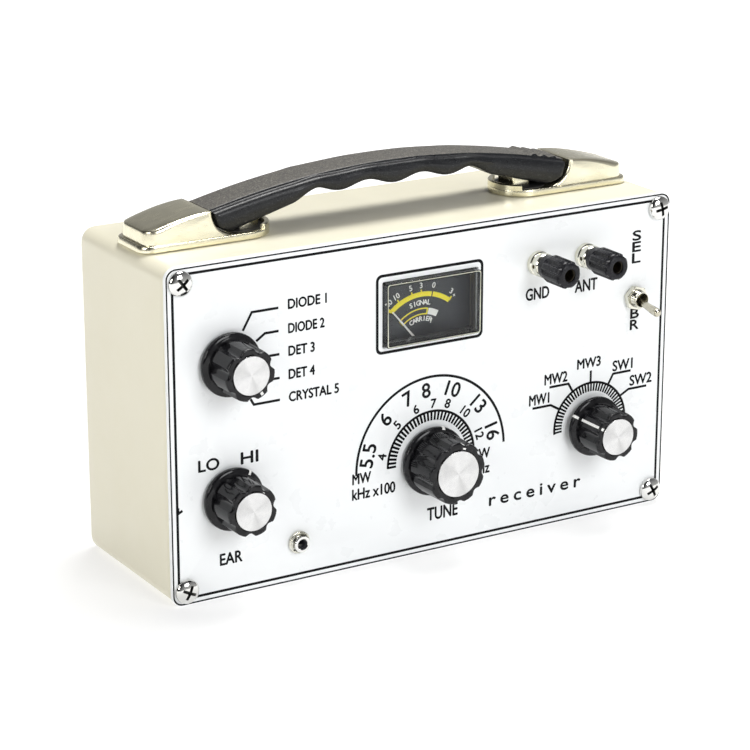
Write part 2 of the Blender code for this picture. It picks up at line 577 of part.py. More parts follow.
def grip_section(top, bottom, squeeze=1.0):
    """Points round one section, from the crown down the +y side and back."""
    half = []
    for y, f in SECTION:
        half.append((y * squeeze, bottom[0] + (top[0] - bottom[0]) * f, bottom[1] + (top[1] - bottom[1]) * f))
    ring = [(px, y, pz) for y, px, pz in half]
    ring += [(px, -y, pz) for y, px, pz in reversed(half[1:])]
    return ring


columns = []
stations = 34
nose_r = ARC_R - 0.5
for k in range(stations + 1):
    u = -ARC_U + 2 * ARC_U * k / stations
    ut = u + math.copysign(nose_r * (abs(u) / ARC_U) ** 6, u)
    columns.append(((ut, grip_top(ut) if abs(ut) < 70 else ARC_Z), (u, grip_bottom(u)), 1.0))


def nose(side):
    made = []
    for turn, squeeze in ((15, 0.99), (32, 0.94)):
        a, b = math.radians(turn), math.radians(90 - turn)
        made.append(
            (
                (side * (ARC_U + nose_r * math.cos(a)), ARC_Z - nose_r * math.sin(a)),
                (side * (ARC_U + nose_r * math.cos(b)), ARC_Z - nose_r * math.sin(b)),
                squeeze,
            )
        )
    return made


columns = list(reversed(nose(-1))) + columns + nose(1)
grip = finish(
    "handle_grip", loft([grip_section(t, b, s) for t, b, s in columns]), GRIP_BLACK, at(HANDLE_X, HANDLE_Y, 0), angle=50
)


def strip(width, thick, reach, drop, steps=14):
    rings = []
    for k in range(steps + 1):
        u = -reach + 2 * reach * k / steps
        z = grip_top(u) - drop
        rings.append([(u, -width / 2, z - thick / 2), (u, width / 2, z - thick / 2), (u, width / 2, z + thick / 2), (u, -width / 2, z + thick / 2)])
    return loft(rings)


finish("cut_grip_channel", strip(12.6, 1.8, 50.0, 2.8), None, at(HANDLE_X, HANDLE_Y, 0), cutter=True)
combine(grip, bpy.data.objects["cut_grip_channel"])
pockets = [box(s * PIN_U - 4.6, s * PIN_U + 4.6, -5.4, 5.4, 55.0, 71.0) for s in (-1, 1)]
finish("cut_grip_pockets", merged(*pockets), None, at(HANDLE_X, HANDLE_Y, 0), cutter=True)
combine(grip, bpy.data.objects["cut_grip_pockets"])
holes = [cylinder_y(PIN_R + GAP, -9.2, 9.2, s * PIN_U, PIN_Z, 12) for s in (-1, 1)]
finish("cut_grip_pins", merged(*holes), None, at(HANDLE_X, HANDLE_Y, 0), cutter=True)
combine(grip, bpy.data.objects["cut_grip_pins"])

finish("handle_core", strip(12.0, 1.2, 49.0, 2.8), SPRING_STEEL, at(HANDLE_X, HANDLE_Y, 0))
for name, s in (("handle_pin_left", -1), ("handle_pin_right", 1)):
    finish(name, cylinder_y(PIN_R, -8.8, 8.8, s * PIN_U, PIN_Z, 12), SPRING_STEEL, at(HANDLE_X, HANDLE_Y, 0))


def bracket(name, s):
    """Plated end bracket: base with a rounded inner end, a block whose inner
    face is hollowed to the grip's end, and a slotted lug inside the grip."""
    arc = []
    for k in range(9):
        a = math.radians(90.0 * k / 8)
        arc.append((ARC_U + ARC_R * math.cos(a), ARC_Z - ARC_R * math.sin(a)))
    profile = (
        [(44.0, 58.3), (BRACKET_END, 58.3), (BRACKET_END, 60.6), (BRACKET_END - 0.9, 61.0), (BRACKET_END - 1.3, 65.4), (BRACKET_END - 2.2, 66.0)]
        + [(ARC_U + ARC_R + 0.4, 69.2)]
        + arc
        + [(ARC_U - 2.0, 60.7), (44.0, 60.7)]
    )
    block = prism([(s * px, pz) for px, pz in profile], -BRACKET_W / 2, BRACKET_W / 2, "Y")
    body = finish(name, block, NICKEL, at(HANDLE_X, HANDLE_Y, 0))
    plan = []
    for k in range(9):
        a = math.radians(90.0 + 180.0 * k / 8)
        plan.append((57.0 + 11.2 * math.cos(a), BRACKET_W / 2 * math.sin(a)))
    for cy, start in ((-1, -90.0), (1, 0.0)):
        for k in range(5):
            a = math.radians(start + 90.0 * k / 4)
            plan.append((BRACKET_END - 4.5 + 4.5 * math.cos(a), cy * (BRACKET_W / 2 - 5.5) + 5.5 * math.sin(a)))
    finish("trim_" + name, prism([(s * px, py) for px, py in plan], 50.0, 75.0), None, at(HANDLE_X, HANDLE_Y, 0), cutter=True)
    combine(body, bpy.data.objects["trim_" + name], "INTERSECT")
    lug = box(min(s * (PIN_U - 3.6), s * (PIN_U + 3.6)), max(s * (PIN_U - 3.6), s * (PIN_U + 3.6)), -4.6, 4.6, 60.0, 70.4)
    finish("join_lug_" + name, lug, None, at(HANDLE_X, HANDLE_Y, 0), cutter=True)
    combine(body, bpy.data.objects["join_lug_" + name], "UNION")
    wall = []
    for r in (11.2, 9.6):
        span = range(7) if r > 10 else range(6, -1, -1)
        wall += [
            (57.0 + r * math.cos(math.radians(120.0 + 20.0 * k)), (r + 0.3) * math.sin(math.radians(120.0 + 20.0 * k)))
            for k in span
        ]
    finish("join_rim_" + name, prism([(s * px, py) for px, py in wall], 60.0, 62.4), None, at(HANDLE_X, HANDLE_Y, 0), cutter=True)
    combine(body, bpy.data.objects["join_rim_" + name], "UNION")
    slot = rounded_rect(2 * (PIN_R + GAP), 2 * (PIN_R + GAP) + HANDLE_LIFT, PIN_R + GAP - 0.01, 4, s * PIN_U, PIN_Z + HANDLE_LIFT / 2)
    finish("cut_slot_" + name, prism(slot, -8.0, 8.0, "Y"), None, at(HANDLE_X, HANDLE_Y, 0), cutter=True)
    combine(body, bpy.data.objects["cut_slot_" + name])
    bolts = merged(*[cylinder_z(1.8, 55.0, 64.0, s * u, 0.0, 12) for u in bolt_u])
    finish("cut_bolts_" + name, bolts, None, at(HANDLE_X, HANDLE_Y, 0), cutter=True)
    combine(body, bpy.data.objects["cut_bolts_" + name])


bracket("handle_bracket_left", -1)
bracket("handle_bracket_right", 1)
bolt = [(0, 54.0), (2.2, 54.0), (2.9, 54.6), (2.9, 56.5), (1.5, 56.5), (1.5, 63.4), (0, 63.4)]
count = 0
for s in (-1, 1):
    for u in bolt_u:
        count += 1
        finish(f"bracket_screw_{count}", turned(bolt, 14), STEEL, at(HANDLE_X + s * u, HANDLE_Y, 0))

# -------------------------------------------------------- parts inside the case
ROD_Y, ROD_Z, ROD_R, ROD_HALF = 50.0, 33.0, 5.0, 75.0
TO_X = (0.0, math.pi / 2, 0.0)
finish("ferrite_rod", turned([(0, -ROD_HALF), (ROD_R - 0.4, -ROD_HALF), (ROD_R, -ROD_HALF + 0.4), (ROD_R, ROD_HALF - 0.4), (ROD_R - 0.4, ROD_HALF), (0, ROD_HALF)], 16), FERRITE, at(0, ROD_Y, ROD_Z), TO_X)
coil = [(5.3, -34.0), (6.2, -34.0), (6.2, -30.0), (8.2, -30.0), (8.2, -2.0), (6.2, -2.0), (6.2, 6.0), (7.4, 6.0), (7.4, 22.0), (6.2, 22.0), (6.2, 28.0), (5.3, 28.0)]
finish("antenna_coil", turned(coil, 14, closed=True), LITZ, at(0, ROD_Y, ROD_Z), TO_X)
for name, x in (("rod_holder_left", -62.0), ("rod_holder_right", 62.0)):
    holder = finish(name, box(x - 3.0, x + 3.0, ROD_Y - 8.0, CASE_D - CASE_WALL - GAP, ROD_Z - 8.0, ROD_Z + 8.0), HOLDER, at(0, 0, 0))
    hole = turned([(0, -6), (ROD_R + GAP, -6), (ROD_R + GAP, 6), (0, 6)], 16)
    bmesh.ops.rotate(hole, cent=(0, 0, 0), matrix=Matrix.Rotation(math.pi / 2, 3, "Y"), verts=hole.verts)
    bmesh.ops.translate(hole, vec=(x, ROD_Y, ROD_Z), verts=hole.verts)
    finish("cut_" + name, hole, None, at(0, 0, 0), cutter=True)
    combine(holder, bpy.data.objects["cut_" + name])

floor_z = -PANEL_H / 2 + CASE_WALL + GAP
core = finish("matching_transformer", box(-54.0, -28.0, 40.0, 54.0, floor_z, floor_z + 22.0), CORE_IRON, at(0, 0, 0))
finish("join_transformer_winding", box(-48.0, -34.0, 36.0, 58.0, floor_z + 4.5, floor_z + 17.5), None, at(0, 0, 0), cutter=True)
combine(core, bpy.data.objects["join_transformer_winding"], "UNION")
finish("join_transformer_foot", box(-60.0, -22.0, 43.0, 51.0, floor_z, floor_z + 1.2), None, at(0, 0, 0), cutter=True)
combine(core, bpy.data.objects["join_transformer_foot"], "UNION")

board = finish("diode_board", box(-92.0, -50.0, 58.0, 59.6, -16.0, 18.0), BOARD, at(0, 0, 0))
legs = [box(x - 2, x + 2, 59.0, CASE_D - CASE_WALL - GAP, z - 2, z + 2) for x in (-88.0, -54.0) for z in (-12.0, 14.0)]
finish("join_board_legs", merged(*legs), None, at(0, 0, 0), cutter=True)
combine(board, bpy.data.objects["join_board_legs"], "UNION")
diodes = []
for k in range(5):
    bead = turned([(0, -9), (0.4, -9), (0.4, -4), (1.6, -4), (1.6, 4), (0.4, 4), (0.4, 9), (0, 9)], 6)
    bmesh.ops.rotate(bead, cent=(0, 0, 0), matrix=Matrix.Rotation(math.pi / 2, 3, "Y"), verts=bead.verts)
    bmesh.ops.translate(bead, vec=(-71.0, 57.8, -11.0 + 6.0 * k), verts=bead.verts)
    diodes.append(bead)
finish("join_board_diodes", merged(*diodes), None, at(0, 0, 0), cutter=True)
combine(board, bpy.data.objects["join_board_diodes"], "UNION")
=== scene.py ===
import json
import math

import bmesh
import bpy
from mathutils import Matrix, Vector


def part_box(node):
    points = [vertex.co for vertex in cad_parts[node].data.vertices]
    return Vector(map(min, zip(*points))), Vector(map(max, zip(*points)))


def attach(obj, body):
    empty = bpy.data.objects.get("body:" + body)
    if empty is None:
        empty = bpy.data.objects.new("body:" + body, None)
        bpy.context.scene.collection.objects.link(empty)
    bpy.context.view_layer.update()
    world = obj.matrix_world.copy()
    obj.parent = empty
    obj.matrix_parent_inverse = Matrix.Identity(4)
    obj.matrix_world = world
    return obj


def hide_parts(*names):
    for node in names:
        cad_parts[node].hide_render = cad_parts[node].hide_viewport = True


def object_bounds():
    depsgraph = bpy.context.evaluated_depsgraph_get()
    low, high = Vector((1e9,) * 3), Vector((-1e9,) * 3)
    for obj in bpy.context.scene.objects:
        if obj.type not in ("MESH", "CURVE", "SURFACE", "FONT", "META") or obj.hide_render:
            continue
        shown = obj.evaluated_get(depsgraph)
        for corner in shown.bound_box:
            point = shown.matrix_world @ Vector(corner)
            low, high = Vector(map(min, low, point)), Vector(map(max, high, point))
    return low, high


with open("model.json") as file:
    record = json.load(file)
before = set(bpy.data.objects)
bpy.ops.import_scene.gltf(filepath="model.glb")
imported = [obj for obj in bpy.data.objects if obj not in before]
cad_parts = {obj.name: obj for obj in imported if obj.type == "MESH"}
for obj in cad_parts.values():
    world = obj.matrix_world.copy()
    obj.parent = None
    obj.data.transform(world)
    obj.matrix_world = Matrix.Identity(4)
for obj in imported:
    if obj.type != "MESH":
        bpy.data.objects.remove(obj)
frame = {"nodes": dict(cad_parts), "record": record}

cad_box = [list(map(float, corner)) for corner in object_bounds()]

# ------------------------------------------------------------------ the frame
MM = 0.001
record = frame["record"]
body_of = {n: b for b, members in record["behaviour"]["bodies"].items() for n in members}
slot_of = {s["node"]: s["material_slot"] for s in record["subparts"]}
panel_lo, panel_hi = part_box("front_panel")
FRONT_Y = panel_lo.y
MID_X = (panel_lo.x + panel_hi.x) / 2
MID_Z = (panel_lo.z + panel_hi.z) / 2
PW, PH = (panel_hi.x - panel_lo.x) / MM, (panel_hi.z - panel_lo.z) / MM
PT = (panel_hi.y - panel_lo.y) / MM


def at(x, y, z):
    """World position in metres of a point in millimetres: x and z on the
    panel from its centre, y into the case."""
    return Vector((MID_X + x * MM, FRONT_Y + y * MM, MID_Z + z * MM))


def spot(node):
    """Centre of a node on the panel, in millimetres."""
    lo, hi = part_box(node)
    return ((lo.x + hi.x) / 2 - MID_X) / MM, ((lo.z + hi.z) / 2 - MID_Z) / MM


def reach(node):
    """How far a node stands out of the panel: (lowest, highest) in mm."""
    lo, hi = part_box(node)
    return (FRONT_Y - hi.y) / MM, (FRONT_Y - lo.y) / MM


FRONT = (math.pi / 2, 0.0, 0.0)
INK = (-0.02, 0.05)


# ------------------------------------------------------------------ materials
def surface(
    name, base, rough=0.5, metallic=0.0, tint=None, tint_scale=60.0, tint_share=0.5,
    span=0.08, rough_scale=180.0, bumps=((900.0, 0.15, 0.05),), stretch=(1, 1, 1),
    wear=None, wear_at=0.56, coat=0.0, ior=1.5, clear=0.0, anisotropic=0.0, rings=0.0, specks=None, detail=4.0,
):
    """A procedural finish. bumps hold (features per metre, strength, depth in
    mm); tint is a second colour mixed in by noise; wear is a colour that shows
    on outside edges; specks are (colour, features per metre, share)."""
    mat = bpy.data.materials.new(name)
    mat.use_nodes = True
    tree = mat.node_tree
    links, nodes = tree.links, tree.nodes
    shader = nodes["Principled BSDF"]
    where = nodes.new("ShaderNodeTexCoord")
    mapping = nodes.new("ShaderNodeMapping")
    mapping.inputs["Scale"].default_value = stretch
    links.new(where.outputs["Object"], mapping.inputs["Vector"])

    def noise(scale, deep=detail, rough_in=0.55):
        node = nodes.new("ShaderNodeTexNoise")
        node.inputs["Scale"].default_value = scale
        node.inputs["Detail"].default_value = deep
        node.inputs["Roughness"].default_value = rough_in
        links.new(mapping.outputs["Vector"], node.inputs["Vector"])
        return node.outputs["Fac"]

    def mix(share, first, second):
        node = nodes.new("ShaderNodeMix")
        node.data_type = "RGBA"
        for socket, value in ((node.inputs[6], first), (node.inputs[7], second)):
            if isinstance(value, tuple):
                socket.default_value = (*value, 1.0)
            else:
                links.new(value, socket)
        links.new(share, node.inputs[0])
        return node.outputs[2]

    def span_of(value, low_in, high_in, low, high):
        node = nodes.new("ShaderNodeMapRange")
        node.inputs["From Min"].default_value = low_in
        node.inputs["From Max"].default_value = high_in
        node.inputs["To Min"].default_value = low
        node.inputs["To Max"].default_value = high
        links.new(value, node.inputs["Value"])
        return node.outputs["Result"]

    tint = tint or tuple(c * 0.86 for c in base)
    colour = mix(span_of(noise(tint_scale), 0.36, 0.66, 0.0, tint_share), base, tint)
    if specks:
        dots = span_of(noise(specks[1], 2.0, 0.4), 0.62 - specks[2] * 0.1, 0.66 - specks[2] * 0.1, 0.0, 0.85)
        colour = mix(dots, colour, specks[0])
    if wear:
        geometry = nodes.new("ShaderNodeNewGeometry")
        edge = span_of(geometry.outputs["Pointiness"], wear_at, wear_at + 0.05, 0.0, 1.0)
        patch = span_of(noise(420.0), 0.44, 0.60, 0.0, 1.0)
        both = nodes.new("ShaderNodeMath")
        both.operation = "MULTIPLY"
        links.new(edge, both.inputs[0])
        links.new(patch, both.inputs[1])
        colour = mix(both.outputs[0], colour, wear)
    links.new(colour, shader.inputs["Base Color"])
    low, high = max(0.0 if clear else 0.02, rough - span), min(1.0, rough + span)
    links.new(span_of(noise(rough_scale), 0.3, 0.7, low, high), shader.inputs["Roughness"])
    shader.inputs["Metallic"].default_value = metallic
    shader.inputs["IOR"].default_value = ior
    shader.inputs["Coat Weight"].default_value = coat
    shader.inputs["Coat Roughness"].default_value = 0.08
    if clear:
        shader.inputs["Transmission Weight"].default_value = clear
    last = None
    for scale, strength, depth in bumps:
        bump = nodes.new("ShaderNodeBump")
        bump.inputs["Strength"].default_value = strength
        bump.inputs["Distance"].default_value = depth * MM
        links.new(noise(scale, 3.0), bump.inputs["Height"])
        if last:
            links.new(last, bump.inputs["Normal"])
        last = bump.outputs["Normal"]
    if rings:
        wave = nodes.new("ShaderNodeTexWave")
        wave.wave_type = "RINGS"
        wave.rings_direction = "Z"
        wave.inputs["Scale"].default_value = rings
        wave.inputs["Distortion"].default_value = 0.4
        wave.inputs["Detail"].default_value = 2.0
        links.new(where.outputs["Object"], wave.inputs["Vector"])
        bump = nodes.new("ShaderNodeBump")
        bump.inputs["Strength"].default_value = 0.12
        bump.inputs["Distance"].default_value = 0.02 * MM
        links.new(wave.outputs["Fac"], bump.inputs["Height"])
        if last:
            links.new(last, bump.inputs["Normal"])
        last = bump.outputs["Normal"]
    if last:
        links.new(last, shader.inputs["Normal"])
    if anisotropic:
        shader.inputs["Anisotropic"].default_value = anisotropic
        tangent = nodes.new("ShaderNodeTangent")
        tangent.direction_type = "RADIAL"
        tangent.axis = "Z"
        links.new(tangent.outputs["Tangent"], shader.inputs["Tangent"])
    mat.diffuse_color = (*base, 1.0)
    return mat


CREAM = surface(
    "cream_paint_finish", (0.80, 0.765, 0.615), 0.36, tint=(0.75, 0.71, 0.55), tint_scale=14.0, tint_share=0.5,
    span=0.07, rough_scale=120.0, bumps=((1500.0, 0.16, 0.05), (260.0, 0.10, 0.12)), wear=(0.62, 0.60, 0.50), wear_at=0.585,
)
WHITE = surface(
    "panel_white_finish", (0.90, 0.915, 0.92), 0.30, tint=(0.875, 0.895, 0.905), tint_scale=9.0, tint_share=0.22,
    span=0.05, rough_scale=90.0, bumps=((1400.0, 0.04, 0.015),),
)
BLACK_INK = surface(
    "printed_black_ink", (0.004, 0.004, 0.005), 0.55, tint=(0.009, 0.009, 0.010), tint_scale=900.0, tint_share=0.6,
    bumps=((3000.0, 0.12, 0.01),), ior=1.22,
)
CHROME = surface(
    "bright_chrome_finish", (0.80, 0.80, 0.78), 0.10, 1.0, tint=(0.66, 0.65, 0.60), tint_scale=300.0, tint_share=0.4,
    span=0.05, rough_scale=600.0, bumps=((1400.0, 0.10, 0.015),),
)
NICKEL = surface(
    "nickel_plate_finish", (0.84, 0.80, 0.62), 0.24, 1.0, tint=(0.77, 0.72, 0.52), tint_scale=60.0, tint_share=0.5,
    span=0.05, rough_scale=500.0, bumps=((2200.0, 0.34, 0.03), (500.0, 0.12, 0.02)), stretch=(0.35, 1, 1),
    wear=(0.85, 0.83, 0.74), wear_at=0.57,
)
NUT_NICKEL = surface(
    "nut_nickel_finish", (0.74, 0.73, 0.66), 0.16, 1.0, tint=(0.60, 0.58, 0.45), tint_scale=380.0, tint_share=0.6,
    span=0.07, rough_scale=700.0, bumps=((1800.0, 0.14, 0.02),), wear=(0.9, 0.89, 0.82), wear_at=0.57,
)
GRIP = surface(
    "grip_black_finish", (0.007, 0.0075, 0.009), 0.32, tint=(0.012, 0.0125, 0.014), tint_scale=240.0, tint_share=0.7,
    span=0.07, rough_scale=500.0, bumps=((2400.0, 0.42, 0.05), (700.0, 0.18, 0.05)), specks=((0.04, 0.042, 0.045), 2600.0, 0.1), ior=1.38,
)
GRIP_TOP = surface(
    "grip_top_finish", (0.064, 0.061, 0.056), 0.56, tint=(0.105, 0.097, 0.082), tint_scale=500.0, tint_share=0.8,
    span=0.10, rough_scale=900.0, bumps=((2600.0, 0.8, 0.10), (1100.0, 0.4, 0.10)), specks=((0.20, 0.19, 0.165), 1900.0, 0.5),
)
KNOB = surface(
    "knob_black_finish", (0.004, 0.004, 0.005), 0.11, tint=(0.020, 0.020, 0.022), tint_scale=420.0, tint_share=0.6,
    span=0.06, rough_scale=420.0, bumps=((650.0, 0.16, 0.05), (2600.0, 0.08, 0.01)), wear=(0.05, 0.05, 0.052), wear_at=0.6, ior=1.35,
)
POINTER = surface(
    "pointer_white_paint", (0.86, 0.86, 0.84), 0.42, tint=(0.76, 0.76, 0.72), tint_scale=900.0, tint_share=0.6,
    bumps=((1800.0, 0.2, 0.02),),
)
# Spun aluminium for the knob caps; light and dark reflection sectors are painted into its colour further down.
SPUN = surface(
    "spun_aluminium_painted_reflection", (0.72, 0.72, 0.72), 0.22, 1.0, tint=(0.62, 0.62, 0.63), tint_scale=500.0, tint_share=0.5,
    span=0.05, rough_scale=900.0, bumps=((2600.0, 0.06, 0.01),), anisotropic=0.75, rings=1600.0,
)
STEEL = surface(
    "zinc_steel_finish", (0.62, 0.62, 0.60), 0.28, 1.0, tint=(0.50, 0.50, 0.47), tint_scale=300.0, tint_share=0.6,
    bumps=((1500.0, 0.2, 0.02),),
)
SPRING = surface(
    "spring_steel_finish", (0.40, 0.41, 0.42), 0.36, 1.0, tint=(0.30, 0.31, 0.33), tint_scale=200.0, tint_share=0.7,
    bumps=((1500.0, 0.2, 0.02),), stretch=(0.15, 1, 1),
)
LEVER = surface(
    "lever_plate_finish", (0.60, 0.57, 0.48), 0.20, 1.0, tint=(0.44, 0.41, 0.31), tint_scale=500.0, tint_share=0.7,
    span=0.08, rough_scale=700.0, bumps=((1600.0, 0.2, 0.02),),
)
BRASS = surface(
    "brass_finish", (0.62, 0.45, 0.19), 0.30, 1.0, tint=(0.42, 0.29, 0.12), tint_scale=320.0, tint_share=0.6,
    bumps=((1500.0, 0.2, 0.02),),
)
# Brass painted almost black as painted shade deep inside the binding posts' bores.
BORE_SHADE_BRASS = surface(
    "bore_brass_painted_shade", (0.10, 0.085, 0.06), 0.45, 1.0, tint=(0.03, 0.028, 0.025), tint_scale=500.0, tint_share=0.8,
    bumps=((1500.0, 0.3, 0.03),),
)
SWITCH = surface(
    "switch_plastic_finish", (0.030, 0.030, 0.034), 0.46, tint=(0.05, 0.05, 0.052), tint_scale=400.0, tint_share=0.7,
    bumps=((1800.0, 0.3, 0.03),),
)
WINDOW = surface(
    "clear_window_finish", (0.97, 0.98, 0.98), 0.004, tint=(0.94, 0.96, 0.96), tint_scale=80.0, tint_share=0.5,
    span=0.004, rough_scale=300.0, bumps=((200.0, 0.01, 0.005),), ior=1.27, clear=1.0,
)
DIAL = surface(
    "dial_plate_finish", (0.011, 0.014, 0.020), 0.46, tint=(0.017, 0.021, 0.028), tint_scale=90.0, tint_share=0.8,
    span=0.08, rough_scale=200.0, bumps=((2400.0, 0.12, 0.01),),
)
DIAL_LOW = surface(
    "dial_step_finish", (0.035, 0.036, 0.036), 0.16, tint=(0.11, 0.11, 0.10), tint_scale=260.0, tint_share=0.6,
    span=0.08, rough_scale=200.0, bumps=((900.0, 0.25, 0.05),),
)
YELLOW = surface(
    "dial_yellow_ink", (0.96, 0.83, 0.012), 0.42, tint=(0.88, 0.73, 0.01), tint_scale=700.0, tint_share=0.5,
    bumps=((2400.0, 0.12, 0.01),),
)
NEEDLE = surface(
    "needle_white_finish", (0.88, 0.88, 0.84), 0.38, tint=(0.78, 0.78, 0.72), tint_scale=600.0, tint_share=0.6,
    bumps=((1800.0, 0.12, 0.01),),
)
HOUSING = surface(
    "meter_housing_finish", (0.018, 0.018, 0.019), 0.5, tint=(0.03, 0.03, 0.031), tint_scale=300.0, tint_share=0.7,
    bumps=((1500.0, 0.3, 0.03),),
)
COLLAR = surface(
    "post_collar_finish", (0.80, 0.79, 0.72), 0.15, 1.0, tint=(0.66, 0.64, 0.50), tint_scale=420.0, tint_share=0.6,
    span=0.06, rough_scale=600.0, bumps=((1500.0, 0.14, 0.02),),
)
POST_CAP = surface(
    "post_cap_finish", (0.007, 0.007, 0.009), 0.26, tint=(0.014, 0.014, 0.018), tint_scale=500.0, tint_share=0.7,
    span=0.10, rough_scale=700.0, bumps=((900.0, 0.35, 0.05), (2600.0, 0.15, 0.02)), wear=(0.03, 0.03, 0.033), wear_at=0.60, ior=1.33,
)
PLATE_ALUMINIUM = surface(
    "plate_aluminium_finish", (0.70, 0.71, 0.72), 0.36, 1.0, tint=(0.60, 0.61, 0.63), tint_scale=200.0, tint_share=0.7,
    bumps=((1600.0, 0.2, 0.02),), stretch=(0.1, 1, 1),
)
FERRITE = surface(
    "ferrite_finish", (0.055, 0.052, 0.052), 0.6, tint=(0.09, 0.085, 0.08), tint_scale=600.0, tint_share=0.7,
    bumps=((1500.0, 0.5, 0.05),),
)
LITZ = surface(
    "litz_winding_finish", (0.46, 0.20, 0.07), 0.42, tint=(0.30, 0.12, 0.04), tint_scale=300.0, tint_share=0.8,
    bumps=((1800.0, 0.4, 0.05),), stretch=(6, 1, 1),
)
HOLDER = surface(
    "rod_holder_finish", (0.62, 0.60, 0.54), 0.5, tint=(0.54, 0.52, 0.46), tint_scale=200.0, tint_share=0.7,
    bumps=((1500.0, 0.2, 0.02),),
)
CORE = surface(
    "transformer_core_finish", (0.16, 0.15, 0.15), 0.5, 0.6, tint=(0.10, 0.09, 0.09), tint_scale=300.0, tint_share=0.8,
    bumps=((1500.0, 0.4, 0.05),), stretch=(1, 1, 12),
)
BOARD = surface(
    "board_laminate_finish", (0.42, 0.26, 0.10), 0.55, tint=(0.34, 0.20, 0.07), tint_scale=500.0, tint_share=0.8,
    bumps=((1500.0, 0.3, 0.03),),
)
# Dark metal for painted shade on the walls of the screw heads' cross recesses.
RECESS_SHADE = surface(
    "screw_recess_painted_shade", (0.10, 0.10, 0.095), 0.45, 1.0, tint=(0.05, 0.05, 0.045), tint_scale=500.0, tint_share=0.8,
    bumps=((1600.0, 0.3, 0.02),),
)
# Pale colour for a painted highlight along the clear cover's polished front edge.
COVER_EDGE_HIGHLIGHT = surface(
    "cover_edge_painted_highlight", (0.80, 0.80, 0.66), 0.22, tint=(0.60, 0.60, 0.46), tint_scale=700.0, tint_share=0.8,
    bumps=((1200.0, 0.3, 0.03),),
)


def add_painted_reflection_sectors(mat):
    """Painted reflection: faint light and dark sectors, as a lathe-turned face reflects them, painted into the base
    colour.
    """
    tree = mat.node_tree
    shader = tree.nodes["Principled BSDF"]
    source = shader.inputs["Base Color"].links[0].from_socket
    where = tree.nodes.new("ShaderNodeTexCoord")
    sweep = tree.nodes.new("ShaderNodeTexGradient")
    sweep.gradient_type = "RADIAL"
    tree.links.new(where.outputs["Object"], sweep.inputs["Vector"])
    ramp = tree.nodes.new("ShaderNodeValToRGB")
    painted_reflection_levels = ((0.0, 0.88), (0.09, 1.0), (0.20, 1.0), (0.30, 0.80), (0.36, 0.97), (0.47, 1.0), (0.58, 0.84), (0.64, 0.98), (0.80, 1.0), (0.90, 0.82), (1.0, 0.88))
    while len(ramp.color_ramp.elements) < len(painted_reflection_levels):
        ramp.color_ramp.elements.new(0.5)
    for element, (place, level) in zip(ramp.color_ramp.elements, painted_reflection_levels):
        element.position = place
    for element, (place, level) in zip(ramp.color_ramp.elements, painted_reflection_levels):
        element.color = (level, level, level * 0.995, 1.0)
    tree.links.new(sweep.outputs["Fac"], ramp.inputs["Fac"])
    both = tree.nodes.new("ShaderNodeMix")
    both.data_type = "RGBA"
    both.blend_type = "MULTIPLY"
    both.inputs[0].default_value = 1.0
    tree.links.new(source, both.inputs[6])
    tree.links.new(ramp.outputs["Color"], both.inputs[7])
    tree.links.new(both.outputs[2], shader.inputs["Base Color"])


# Painted reflection: the caps' conical light and dark sectors are multiplied into the base colour.
add_painted_reflection_sectors(SPUN)
FINISHES = {
    "cream_paint": CREAM, "panel_white": WHITE, "bright_chrome": CHROME, "nickel_plate": NICKEL, "grip_black": GRIP,
    "spring_steel": SPRING, "knob_black": KNOB, "spun_aluminium": SPUN, "zinc_steel": STEEL, "brass": BRASS,
    "switch_plastic": SWITCH, "clear_window": WINDOW, "dial_plate": DIAL, "needle_white": NEEDLE,
    "meter_housing": HOUSING, "post_collar": COLLAR, "plate_aluminium": PLATE_ALUMINIUM, "ferrite": FERRITE,
    "litz_winding": LITZ, "rod_holder": HOLDER, "transformer_core": CORE, "board_laminate": BOARD,
}
for node, obj in frame["nodes"].items():
    for holder in obj.material_slots:
        holder.material = FINISHES[slot_of[node]]


# ----------------------------------------------------------------- mesh tools
def bridge(bm, first, second, index=0):
    n = max(len(first), len(second))
    for i in range(n):
        j = (i + 1) % n
        a, b = (first[0], first[0]) if len(first) == 1 else (first[i], first[j])
        c, d = (second[0], second[0]) if len(second) == 1 else (second[j], second[i])
        face = []
        for vert in (a, b, c, d):
            if vert not in face:
                face.append(vert)
        if len(face) > 2:
            bm.faces.new(face).material_index = index


def loft(rings, closed=False):
    bm = bmesh.new()
    made = [[bm.verts.new(p) for p in ring] for ring in rings]
    for first, second in zip(made, made[1:]):
        bridge(bm, first, second)
    if closed:
        bridge(bm, made[-1], made[0])
    else:
        for ring in (made[0], made[-1]):
            if len(ring) > 2:
                bm.faces.new(ring)
    return bm


def turned(path, sides=64, shape=None, closed=False, spin=0.0):
    """A turned body about local Z through (radius, height) points. shape, if
    given, is a function of (angle, radius, height) giving the radius."""
    rings = []
    for r, h in path:
        if r < 1e-6:
            rings.append([(0.0, 0.0, h)])
            continue
        ring = []
        for k in range(sides):
            a = spin + 2 * math.pi * k / sides
            q = shape(a, r, h) if shape else r
            ring.append((q * math.cos(a), q * math.sin(a), h))
        rings.append(ring)
    return loft(rings, closed)


def prism(points, low, high, axis="Z"):
    place = {
        "Z": lambda a, b, c: (a, b, c),
        "Y": lambda a, b, c: (a, c, b),
        "X": lambda a, b, c: (c, a, b),
    }[axis]
    return loft([[place(a, b, low) for a, b in points], [place(a, b, high) for a, b in points]])


def rounded_rect(w, h, r, steps=8, cx=0.0, cy=0.0):
    points = []
    for sx, sy, start in ((1, 1, 0), (-1, 1, 90), (-1, -1, 180), (1, -1, 270)):
        for k in range(steps + 1):
            a = math.radians(start + 90.0 * k / steps)
            points.append((cx + sx * (w / 2 - r) + r * math.cos(a), cy + sy * (h / 2 - r) + r * math.sin(a)))
    return points


